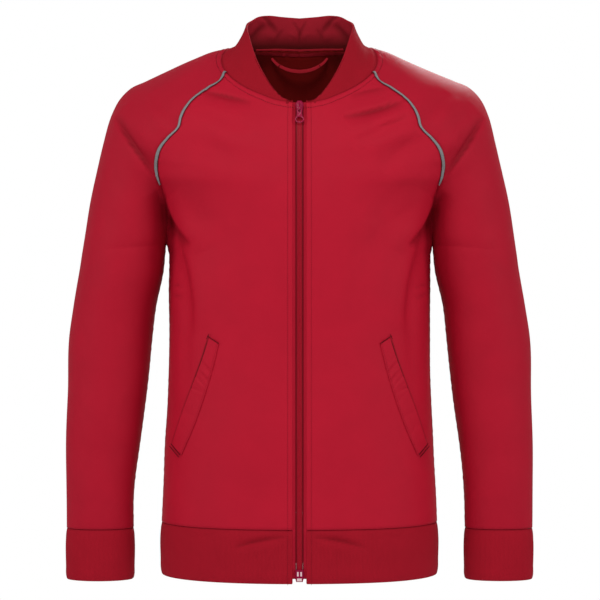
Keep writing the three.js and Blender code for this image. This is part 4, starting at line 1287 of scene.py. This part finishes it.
# The sleeves' red is the body's red made a little darker, as painted shade.
SHADED_SLEEVE_RED = red(168, 18, 41)
RIB_RED = red(156, 17, 35)
tricot = tricot_finish("tricot_body", BODY_RED)
tricot_pocket = tricot_finish("tricot_front", BODY_RED, "mouth")
tricot_sleeve = tricot_finish("tricot_sleeve", SHADED_SLEEVE_RED)
inside = inside_finish()
rib = rib_finish("rib_knit", RIB_RED, 0.0017)
collar_rib = rib_finish("rib_collar", red(152, 17, 33), 0.0015)
piping_cloth = piping_finish()
zip_weave = tape_finish("zip_tape_weave", red(186, 24, 48), 1.0, CHAIN_HALF * MM)
neck_weave = tape_finish("neck_tape_weave", red(186, 34, 48), 0.6)
loop_weave = tape_finish("loop_weave", red(184, 32, 47), 1.0)
coil = coil_finish()
lacquer = lacquer_finish("lacquered_metal")
box_lacquer = lacquer_finish("lacquered_box", FOOT_BOX_HIGHLIGHTS)
collar_inside = rib_finish("rib_collar_inside", red(148, 24, 38), 0.0015, True)
# The threads are coloured darker than the cloth they sew, as painted shade of the dips they lie in.
thread = thread_finish("sewing_thread", red(112, 11, 26), red(138, 18, 35))
bright_thread = thread_finish("welt_thread", red(122, 14, 30), red(152, 22, 40))
dark_thread = thread_finish("tacking_thread", red(56, 3, 8), red(84, 7, 15))


# The cloth, in rows and columns of places

front = {"left": front_grid(1), "right": front_grid(-1)}
back = back_grid()
sleeve = {"left": sleeve_grid(1), "right": sleeve_grid(-1)}
collar = collar_grid()
cloth = [front["left"], front["right"], back, sleeve["left"], sleeve["right"]]
share_normals([*cloth, collar])
fold_cloth([*cloth, collar])
share_normals([*cloth, collar])
for side in ("left", "right"):
    sink_seams(front[side], ["last", "top"], ["first", "top"])
    sink_seams(sleeve[side], ["first", "last", "foot"], ["foot"])
sink_seams(back, ["first", "last", "top"], ["top"])
sink_seams(collar, ["foot"], [])

hem_seam = np.concatenate([
    front["left"].points[0],
    back.points[0, 1:-1],
    front["right"].points[0, ::-1],
])
band = rib_grid(hem_seam, BAND_PROFILE, 1, False)
cuff = {
    "left": rib_grid(sleeve["left"].points[-1], CUFF_PROFILE, 1, True),
    "right": rib_grid(sleeve["right"].points[-1], CUFF_PROFILE, -1, True),
}
ribs = [band, cuff["left"], cuff["right"]]
share_normals(ribs)
share_normals([*cloth, collar])
bent = fold_height(band.points[..., 0], band.points[..., 2], BAND_FOLDS)
band.points = band.points + band.normals * (bent * (band.points[..., 1] < 0))[..., None]
share_normals([band])


class Skin:
    """The outer side of a grid, found by the line through it at a given x and z."""

    def __init__(self, g):
        rows, columns = g.points.shape[:2]
        ids = np.arange(rows * columns).reshape(rows, columns)
        a, b, c, d = ids[:-1, :-1], ids[:-1, 1:], ids[1:, 1:], ids[1:, :-1]
        self.faces = np.concatenate([np.stack(f, axis=-1).reshape(-1, 3) for f in ((a, b, c), (a, c, d))])
        self.points, self.normals = g.points.reshape(-1, 3), g.normals.reshape(-1, 3)
        self.tree = BVHTree.FromPolygons(self.points.tolist(), self.faces.tolist())

    def at(self, x, z, toward=1):
        """Places and normals for arrays of x and z, seen along +Y from the front, or along -Y."""
        places, normals = [], []
        for one_x, one_z in zip(x, z):
            hit, _, face, _ = self.tree.ray_cast((one_x, -500 * toward, one_z), (0, toward, 0))
            corner = self.faces[face]
            a, b, c = self.points[corner]
            hit = np.array(hit)
            ab, ac, ah = b - a, c - a, hit - a
            cross = np.cross(ab, ac)
            size = cross @ cross
            share_c = np.cross(ab, ah) @ cross / size
            share_b = np.cross(ah, ac) @ cross / size
            shares = np.array([1 - share_b - share_c, share_b, share_c])
            places.append(hit)
            normals.append(unit(shares @ self.normals[corner]))
        return np.array(places), np.array(normals)


def edge_fields(g, edges):
    """How far each place is from the nearest of the named edges, in millimetres."""
    across, along = g.across(), g.along()
    distances = {"first": across, "last": across[:, -1:] - across,
                 "foot": along, "top": along[-1:] - along}
    return np.minimum.reduce([distances[edge] for edge in edges])


# The pocket mouths beside the welts' open edges: how far from the edge, and how open there. The fronts'
# colour is darkened along them as painted shade under the welts.

welt_edge = smooth_run(WELT)
mouth_run = welt_edge(np.linspace(0, 1, 120))


def mouth_fields(g):
    x, z = np.abs(g.points[..., 0]), g.points[..., 2]
    off_x = x[..., None] - mouth_run.openX
    off_z = z[..., None] - mouth_run.openZ
    nearest = np.argmin(off_x ** 2 + off_z ** 2, axis=-1)
    ahead_x, ahead_z = np.gradient(mouth_run.openX), np.gradient(mouth_run.openZ)
    long = np.hypot(ahead_x, ahead_z)
    pick = lambda values: np.take_along_axis(values, nearest[..., None], axis=-1)[..., 0]
    aside = (pick(off_x) * -ahead_z[nearest] + pick(off_z) * ahead_x[nearest]) / long[nearest]
    share = nearest / 119
    ends = np.minimum(share, 1 - share)
    opening = np.clip(ends / 0.04, 0, 1) * (0.66 + 0.34 * np.exp(-((share - 0.3) / 0.3) ** 2))
    return {"mouth": np.clip(aside, -20, 20), "opening": opening}


for side in ("left", "right"):
    g = front[side]
    fields = {"seam": edge_fields(g, ["last", "top", "foot"]), "crease_shade": crease_depth(g.points),
              **mouth_fields(g)}
    shell(f"cloth_front_{side}", g, CLOTH, [tricot_pocket, inside], fields=fields)
    g = sleeve[side]
    seams = edge_fields(g, ["first", "last", "foot", "top"])
    shell(f"cloth_sleeve_{side}", g, CLOTH, [tricot_sleeve, inside],
          fields={"seam": seams, "crease_shade": crease_depth(g.points)})
    g = cuff[side]
    shell(f"cloth_cuff_{side}", g, RIB, [rib], even=True, roll=0.9,
          fields={"seam": edge_fields(g, ["foot"])})
shell("cloth_back", back, CLOTH, [tricot, inside],
      fields={"seam": edge_fields(back, ["first", "last", "top", "foot"])})
shell("cloth_hem_band", band, RIB, [rib], even=True, roll=0.9,
      fields={"seam": edge_fields(band, ["foot"]), "crease_shade": crease_depth(band.points, BAND_FOLDS)})

# The collar is folded over at its upper edge, so it is rounder there
collar_inner = fold_height(collar.points[..., 0], collar.points[..., 2], COLLAR_FOLDS)
collar_inner = collar_inner * (collar.points[..., 1] > -20)
foot, top = collar.points[:1].copy(), collar.points[-1:].copy()
height = np.linalg.norm(top - foot, axis=-1, keepdims=True)
shares = np.linspace(0, 1, COLLAR_ROWS + 1)[:, None, None]
shortened = 1 - np.minimum(1.2 / height, 0.4)
collar.points = foot + (collar.points - foot) * shortened
share_normals([collar])
collar_roll = np.linspace(0.15, 1.3, COLLAR_ROWS + 1)[:, None]
# The inner side's fold depths darken its colour as painted shade.
shell("cloth_collar", collar, COLLAR_RIB, [collar_rib, collar_inside], even=True, roll=collar_roll,
      rolls=3, inner_height=collar_inner,
      fields={"seam": edge_fields(collar, ["foot"]), "sunk_shade": np.clip(-collar_inner, 0, 3)})


# The pocket welts, laid on the fronts

def welt_grid(side):
    sign = 1 if side == "left" else -1
    along = np.linspace(0, 1, WELT_ROWS + 1)[:, None]
    wide = np.linspace(0, 1, WELT_COLUMNS + 1)[None, :]
    edge = welt_edge(along[:, 0])
    x = edge.stitchX[:, None] + (edge.openX - edge.stitchX)[:, None] * wide
    z = edge.stitchZ[:, None] + (edge.openZ - edge.stitchZ)[:, None] * wide
    places, normals = Skin(front[side]).at(sign * x.ravel(), z.ravel())
    places, normals = places.reshape(*x.shape, 3), normals.reshape(*x.shape, 3)
    stand = WELT_STAND * wide ** 2.5 * np.sin(np.pi * along) ** 0.6
    wrinkles = np.zeros_like(x)
    for k in range(len(WELT_WRINKLES.along)):
        off = (along - WELT_WRINKLES.along[k]) * 152
        beside = (wide - WELT_WRINKLES.across[k]) * 13
        line = off + beside * WELT_WRINKLES.slant[k]
        wrinkles += WELT_WRINKLES.height[k] * np.exp(
            -(line / WELT_WRINKLES.size[k]) ** 2 - (beside / 5.5) ** 2)
    height = LAY_GAP + WELT_WALL + stand + wrinkles
    height = height - 0.4 * np.exp(-(wide * 13 / 2.4) ** 2) - 0.3 * np.exp(-((wide * 13 - 2.2) / 1.1) ** 2)
    g = Grid(places + normals * height[..., None], -sign)
    g.normals = normals
    shown = unit(g.own_normals())
    g.normals = shown * np.sign(np.sum(shown * normals, axis=-1, keepdims=True))
    return g


welt = {side: welt_grid(side) for side in ("left", "right")}
for side in ("left", "right"):
    shell(f"cloth_pocket_welt_{side}", welt[side], WELT_WALL, [tricot], roll=0.55,
          fields={"seam": edge_fields(welt[side], ["first"]) + 2.6})


# Piping along the front raglan seams

def piping(side):
    g = front[side]
    line = g.points[SIDE_ROWS:, -1][::-1]
    normals = g.normals[SIDE_ROWS:, -1][::-1]
    shares = np.linspace(0.004, PIPING_END, 190)
    at = np.linspace(0, 1, len(line))
    place = np.stack([np.interp(shares, at, line[:, k]) for k in range(3)], axis=-1)
    out = unit(np.stack([np.interp(shares, at, normals[:, k]) for k in range(3)], axis=-1))
    part = shares / PIPING_END
    place = place + out * (PIPING_FOLD_LIFT * part ** PIPING_LIFT_POWER + SEAM_SINK)[:, None]
    aside = unit(np.cross(np.gradient(place, axis=0), out))
    face = smooth_run(PIPING_FACE)(part)
    turn = np.linspace(0, TAU, 18, endpoint=False)
    low = 0.15
    sections = np.stack([
        1.15 * face.wide[:, None] * np.cos(turn),
        (face.high[:, None] + low) / 2 + (face.high[:, None] - low) / 2 * np.sin(turn),
    ], axis=-1)
    return carried(f"piping_strip_{side}", place, aside, out, sections, [piping_cloth],
                   {"across": np.cos(turn)[None, :] * (np.sin(turn)[None, :] > -0.2)
                    + np.sign(np.cos(turn))[None, :] * (np.sin(turn)[None, :] <= -0.2)})


for side in ("left", "right"):
    piping(side)


# The zip: tapes and the core of the chain, along the line between the fronts

zip_line = np.concatenate([
    front["left"].points[::-1, 0],
    [[0, front["left"].points[0, 0, 1], BOX_BOTTOM - PAST_BOX]],
])
zip_y = smooth_run(SimpleNamespace(at=-zip_line[:, 2], y=zip_line[:, 1]))


def zip_stations(top, bottom, count):
    z = np.linspace(top, bottom, count + 1)
    y = zip_y(-z).y
    y = np.convolve(np.pad(y, 4, mode="edge"), np.ones(9) / 9, mode="valid")
    place = np.stack([0 * z, y, z], axis=-1)
    ahead = unit(np.gradient(place, axis=0))
    aside = np.broadcast_to([1.0, 0, 0], place.shape)
    return place, aside, unit(np.cross(ahead, aside))


tape_places = zip_stations(CHAIN_TOP, TAPE_FOOT, 240)
tape_section = rounded_block(CHAIN_HALF + SEAM_GAP, TAPE_HALF, -TAPE_BACK - TAPE, -TAPE_BACK, 0.25)
carried("zip_tape_strip_left", *tape_places, tape_section, [zip_weave])
carried("zip_tape_strip_right", *tape_places, tape_section * [-1, 1], [zip_weave])
chain_places = zip_stations(CHAIN_TOP, BOX_TOP + SEAM_GAP, 240)
core_section = rounded_block(-CHAIN_HALF, CHAIN_HALF, -3, -CHAIN_SINK, 0.5)
carried("zip_chain_core", *chain_places, core_section, [coil])


# The tape over the back neck seam, and the loop

def neck_tape_grid():
    """From the collar's inner side over the seam and down the back's inner side."""
    seam, normals = back.points[-1, 1:-1], back.normals[-1, 1:-1]
    down = unit(back.points[-2, 1:-1] - seam)
    wall, wall_normals = line_on(collar, "foot", NECK_TAPE_TOP)
    near = np.argmin(np.linalg.norm(collar.points[0][None] - seam[:, None], axis=-1), axis=1)
    upper = wall[near] - wall_normals[near] * (COLLAR_RIB + LAY_GAP + TAPE)
    even = [np.convolve(np.pad(upper[:, k], 9, mode="reflect", reflect_type="odd"),
                        np.ones(19) / 19, mode="valid") for k in range(3)]
    upper = np.stack(even, axis=-1)
    lower = seam - normals * (CLOTH + LAY_GAP + TAPE)
    rows = [upper, upper * 0.66 + lower * 0.34, upper * 0.3 + lower * 0.7 + down * 0.6]
    rows += [lower + down * drop for drop in np.linspace(2, NECK_TAPE_FOOT, 4)]
    g = Grid(np.stack(rows), 1)
    g.normals = g.own_normals()
    g.normals = g.normals * np.sign(-np.sum(g.normals * normals, axis=-1, keepdims=True))
    g.sign = 1 if np.sum(g.own_normals() * g.normals) > 0 else -1
    return g


neck_tape = neck_tape_grid()
shell("neck_tape_strip", neck_tape, TAPE, [neck_weave], roll=0.3)

behind, _ = Skin(back).at(np.array([LOOP_END[0]]), np.array([LOOP_END[1]]), -1)
loop_rear = behind[0, 1] - CLOTH - LAY_GAP - LOOP_HALF_THICK - LOOP_SLACK
half_loop = smooth_run(SimpleNamespace(x=LOOP_PATH.x, y=loop_rear - LOOP_PATH.ahead, z=LOOP_PATH.z))
loop_half = points_of(half_loop(np.linspace(0, 1, 48)))
loop_line = np.concatenate([loop_half, mirrored(loop_half[-2::-1])])
loop_out = np.broadcast_to([0.0, -1, 0], loop_line.shape)
loop_aside = unit(np.cross(np.gradient(loop_line, axis=0), loop_out))
loop_section = rounded_block(-LOOP_HALF_WIDE, LOOP_HALF_WIDE, -LOOP_HALF_THICK, LOOP_HALF_THICK, 0.4)
fullness = 0.55 + 0.45 * np.sin(np.pi * np.linspace(0, 1, len(loop_line))) ** 0.7
loop_section = loop_section[None] * np.stack([fullness, 1 + 0 * fullness], axis=-1)[:, None]
carried("hanger_loop_strip", loop_line, loop_aside, loop_out, loop_section, [loop_weave])


# The overlocked allowances of the neck seam, turned in under the collar

turned_in = unit(collar.points[1] - collar.points[0])
tall = np.linalg.norm(collar.points[-1] - collar.points[0], axis=-1) > 30
carried("neck_seam_allowance", collar.points[0, tall], collar.normals[0, tall], turned_in[tall],
        rounded_block(-3, -0.35, -1.1, 0.15, 0.3), [inside])


# The metal parts keep the frame's own shapes, with their edges broken

def metal_copy(name, node, finish):
    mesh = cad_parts[node].data.copy()
    mesh.materials.clear()
    bm = bmesh.new()
    bm.from_mesh(mesh)
    bmesh.ops.remove_doubles(bm, verts=bm.verts, dist=2e-6)
    bmesh.ops.dissolve_limit(bm, angle_limit=math.radians(2), verts=bm.verts, edges=bm.edges)
    sharp = [e for e in bm.edges if len(e.link_faces) == 2 and e.calc_face_angle(0) > math.radians(28)]
    bmesh.ops.bevel(bm, geom=sharp, offset=0.00028, offset_type="OFFSET", segments=2, profile=0.5,
                    affect="EDGES", clamp_overlap=True)
    for face in bm.faces:
        face.smooth = True
    bmesh.ops.triangulate(bm, faces=[f for f in bm.faces if len(f.verts) > 4])
    bm.to_mesh(mesh)
    bm.free()
    mesh.name = name
    return add_object(name, mesh, [finish])


metal_copy("slider_body", "zip_slider", lacquer)
metal_copy("pull_tab", "zip_pull", lacquer)
metal_copy("foot_box", "zip_box", box_lacquer)


# Stitches and coil teeth, set along lines on the cloth by a node tree

def stitch_tree():
    tree = bpy.data.node_groups.new("stitches", "GeometryNodeTree")
    inputs = [("Line", "Geometry", None), ("Spacing", "Float", 0.0026), ("Long", "Float", 0.0021),
              ("Wide", "Float", 0.0006), ("High", "Float", 0.0005), ("Turn", "Float", 0.0),
              ("Uneven", "Float", 0.08), ("Seed", "Int", 3), ("Thread", "Material", None)]
    for name, kind, value in inputs:
        socket = tree.interface.new_socket(name, in_out="INPUT", socket_type="NodeSocket" + kind)
        if value is not None:
            socket.default_value = value
    tree.interface.new_socket("Stitches", in_out="OUTPUT", socket_type="NodeSocketGeometry")
    t = Tree(tree)
    given = t.node("NodeGroupInput").outputs
    curve = t.node("GeometryNodeMeshToCurve", Mesh=given["Line"])
    spaced = t.node("GeometryNodeResampleCurve", {"mode": "LENGTH"}, Curve=curve.outputs[0],
                    Length=given["Spacing"])
    tangent = t.node("GeometryNodeInputTangent").outputs[0]
    out = t.node("GeometryNodeInputNamedAttribute", {"data_type": "FLOAT_VECTOR"}, Name="out")
    along = t.node("FunctionNodeAlignRotationToVector", {"axis": "X"}, Vector=tangent)
    upright = t.node("FunctionNodeAlignRotationToVector", {"axis": "Z", "pivot_axis": "X"},
                     Rotation=along.outputs[0], Vector=out.outputs[0])
    swing = t.node("FunctionNodeRandomValue", {"data_type": "FLOAT"}, Min=-1.0, Max=1.0,
                   Seed=given["Seed"])
    wobble = Value(t, next(o for o in swing.outputs if o.enabled)) * Value(t, given["Uneven"])
    spin = t.node("ShaderNodeCombineXYZ", Z=wobble + Value(t, given["Turn"]))
    turn = t.node("FunctionNodeEulerToRotation", Euler=spin.outputs[0])
    turned = t.node("FunctionNodeRotateRotation", {"rotation_space": "LOCAL"},
                    Rotation=upright.outputs[0], Rotate_By=turn.outputs[0])
    bead = t.node("GeometryNodeMeshUVSphere", Segments=6, Rings=4, Radius=0.5)
    size = t.node("ShaderNodeCombineXYZ", X=(wobble + 1) * Value(t, given["Long"]),
                  Y=given["Wide"], Z=given["High"])
    laid = t.node("GeometryNodeInstanceOnPoints", Points=spaced.outputs[0], Instance=bead.outputs[0],
                  Rotation=turned.outputs[0], Scale=size.outputs[0])
    real = t.node("GeometryNodeRealizeInstances", Geometry=laid.outputs[0])
    smooth = t.node("GeometryNodeSetShadeSmooth", Geometry=real.outputs[0])
    done = t.node("GeometryNodeSetMaterial", Geometry=smooth.outputs[0], Material=given["Thread"])
    t.node("NodeGroupOutput", Stitches=done.outputs[0])
    return tree


stitches = stitch_tree()


def sewn(name, lines, finish, spacing, long, wide, high, turn=0.0, uneven=0.08, seed=3):
    """Stitches along lines, each given as places and normals in millimetres."""
    path = bpy.data.meshes.new(name)
    places = np.concatenate([line[0] for line in lines])
    outs = np.concatenate([line[1] for line in lines])
    edges, start = [], 0
    for line in lines:
        count = len(line[0])
        edges += [(start + k, start + k + 1) for k in range(count - 1)]
        start += count
    path.from_pydata((places * MM).tolist(), edges, [])
    path.attributes.new("out", "FLOAT_VECTOR", "POINT").data.foreach_set(
        "vector", outs.astype(np.float32).ravel())
    piece = bpy.data.objects.new(name, path)
    bpy.context.scene.collection.objects.link(piece)
    modifier = piece.modifiers.new("stitches", "NODES")
    modifier.node_group = stitches
    values = {"Spacing": spacing * MM, "Long": long * MM, "Wide": wide * MM, "High": high * MM,
              "Turn": turn, "Uneven": uneven, "Seed": seed, "Thread": finish}
    for socket in stitches.interface.items_tree:
        if socket.in_out == "INPUT" and socket.name in values:
            modifier[socket.identifier] = values[socket.name]
    seen = piece.evaluated_get(bpy.context.evaluated_depsgraph_get())
    mesh = bpy.data.meshes.new_from_object(seen)
    piece.modifiers.remove(modifier)
    piece.data = mesh
    mesh.name = name
    return piece


def straight(g_skin, start, stop, lift, count=12):
    """A line on the cloth between two places given by x and z."""
    x, z = np.linspace(start[0], stop[0], count), np.linspace(start[1], stop[1], count)
    places, normals = g_skin.at(x, z)
    return places + normals * lift, normals


# Neck topstitching, zip stitching, pocket welts and their tacks

neck_lines = [line_on(back, "top", TOPSTITCH, 0.2)]
zip_lines = [line_on(band, "first", ZIP_STITCH, 0.2), line_on(band, "last", ZIP_STITCH, 0.2)]
welt_lines, tack_lines = [], []
for side, sign in (("left", 1), ("right", -1)):
    neck_lines += [line_on(front[side], "top", TOPSTITCH, 0.2),
                   line_on(sleeve[side], "foot", TOPSTITCH, 0.2)]
    zip_lines.append(line_on(front[side], "first", ZIP_STITCH, 0.2))
    welt_lines.append(line_on(welt[side], "first", 2.0, 0.15))
    skin = Skin(front[side])
    for start, stop in WELT_TACKS:
        tack_lines.append(straight(skin, (sign * start[0], start[1]), (sign * stop[0], stop[1]), 2.5))
sewn("stitching_neck", neck_lines, dark_thread, 3.1, 2.3, 0.8, 0.5)
sewn("stitching_zip", zip_lines, thread, 2.9, 2.2, 0.6, 0.5, seed=5)
sewn("stitching_welts", welt_lines, bright_thread, 2.7, 2.0, 0.55, 0.45, seed=7)
sewn("tacks_welts", tack_lines, dark_thread, 0.6, 1.35, 0.6, 0.7, turn=1.45, uneven=0.14, seed=9)

tape_lines = [line_on(neck_tape, "foot", 0.9, 0.1), line_on(neck_tape, "top", 0.9, 0.1)]
sewn("stitching_neck_tape", tape_lines, thread, 2.2, 1.6, 0.45, 0.35, seed=11)
loop_tacks = []
for sign in (-1, 1):
    k = int(np.argmin(np.abs(loop_line[:, 0] - sign * LOOP_TACK)))
    steps = np.linspace(-1.5, 1.5, 6)[:, None]
    loop_tacks.append((loop_line[k] + loop_aside[k] * steps + loop_out[k] * 0.75,
                       np.repeat(loop_out[k:k + 1], 6, axis=0)))
sewn("tacks_loop", loop_tacks, dark_thread, 0.55, 1.6, 0.5, 0.5, turn=1.5, seed=13)

# The coil: teeth in two staggered columns, and the threads that hold them

def beside_chain(offset, out, start=0.0):
    place, aside, away = chain_places
    moved = place + aside * offset + away * out
    moved[0] += (moved[1] - moved[0]) * start
    return moved, away


half_pitch = COIL_PITCH / 2 / np.linalg.norm(chain_places[0][1] - chain_places[0][0])
for name, sign, start in (("left", 1, 0.0), ("right", -1, half_pitch)):
    sewn(f"coil_teeth_{name}", [beside_chain(sign * 1.62, -1.25, start)], coil, COIL_PITCH,
         3.9, 1.15, 1.4, turn=sign * 1.45, uneven=0.03, seed=15)
    sewn(f"coil_threads_{name}", [beside_chain(sign * 2.3, -0.62, start)], thread, COIL_PITCH,
         1.35, 0.42, 0.4, uneven=0.06, seed=17)


# Bodies, and hiding the frame's parts that the pieces replace

def dress(name, node, body="jacket"):
    piece = bpy.data.objects[name]
    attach(piece, body)
    if node:
        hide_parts(node)
    return piece


def cloth_piece(name, node):
    piece = dress(name, node)


for side in ("left", "right"):
    cloth_piece(f"cloth_front_{side}", f"front_{side}")
    cloth_piece(f"cloth_sleeve_{side}", f"sleeve_{side}")
    cloth_piece(f"cloth_cuff_{side}", f"cuff_{side}")
    cloth_piece(f"cloth_pocket_welt_{side}", f"pocket_welt_{side}")
    cloth_piece(f"zip_tape_strip_{side}", f"zip_tape_{side}")
    dress(f"piping_strip_{side}", f"piping_{side}")
    dress(f"coil_teeth_{side}", None)
    dress(f"coil_threads_{side}", None)
cloth_piece("cloth_back", "back")
cloth_piece("cloth_collar", "collar")
cloth_piece("cloth_hem_band", "hem_band")
dress("neck_tape_strip", "neck_tape")
dress("hanger_loop_strip", "hanger_loop")
dress("neck_seam_allowance", None)
dress("zip_chain_core", "zip_chain")
dress("slider_body", "zip_slider")
dress("foot_box", "zip_box")
dress("pull_tab", "zip_pull", "pull")
for name, slot in (("stitching_neck", "tricot"), ("stitching_zip", "tricot"),
                   ("stitching_welts", "tricot"), ("tacks_welts", "tricot"),
                   ("stitching_neck_tape", "rib"), ("tacks_loop", "rib")):
    dress(name, None)


# Floor, light and camera

def floor():
    f = Finish("studio_floor", Specular_IOR_Level=0.2)
    cloud = f.noise(f.place(), 1.3, 2)
    finish = f.wear(f.blend(cloud, (0.72, 0.71, 0.7, 1), (0.78, 0.77, 0.76, 1)), cloud * 0.1 + 0.8)
    half, low = 3500, FLOOR_AT
    points = np.array([[-half, -half, low], [half, -half, low], [half, half, low], [-half, half, low]], float)
    return add_object("floor", mesh_of("floor", points, [np.array([[0, 1, 2, 3]])], points[:, :2]), [finish])


floor()


def soft_light(name, place, toward, size, power):
    lamp = bpy.data.lights.new(name, "AREA")
    lamp.shape = "RECTANGLE"
    lamp.size, lamp.size_y = size
    lamp.energy = power
    light = bpy.data.objects.new(name, lamp)
    light.location = place
    light.rotation_euler = (Vector(toward) - Vector(place)).to_track_quat("-Z", "Y").to_euler()
    bpy.context.scene.collection.objects.link(light)


MIDDLE = (0, 0, -0.33)
soft_light("key", (-0.2, -2.5, 1.9), MIDDLE, (1.1, 0.8), 40)
soft_light("front_fill", (0.2, -3.6, -0.2), MIDDLE, (2.2, 1.4), 7.5)
soft_light("left_fill", (2.5, -1.5, 0.4), MIDDLE, (0.9, 1.4), 25)
soft_light("right_fill", (-2.5, -1.5, 0.4), MIDDLE, (0.9, 1.4), 25)
soft_light("back_light", (0.9, 2.6, 1.6), MIDDLE, (1.0, 0.8), 48)

world = bpy.data.worlds.new("studio")
world.use_nodes = True
t = Tree(world.node_tree)
surround = world.node_tree.nodes["Background"]
seen_by_camera = Value(t, t.node("ShaderNodeLightPath").outputs["Is Camera Ray"])
t.plug(surround, "Color", (1.0, 1.0, 1.0, 1.0))
t.plug(surround, "Strength", seen_by_camera * (1 - AMBIENT) + AMBIENT)
bpy.context.scene.world = world

eye = bpy.data.cameras.new("camera")
eye.lens, eye.sensor_width = CAMERA_LENS, CAMERA_SENSOR
eye.clip_end = 50
camera = bpy.data.objects.new("camera", eye)
camera.location = CAMERA_PLACE
camera.rotation_euler = (math.pi / 2, 0, 0)
bpy.context.scene.collection.objects.link(camera)
scene = bpy.context.scene
scene.camera = camera
scene.view_settings.view_transform = "Standard"
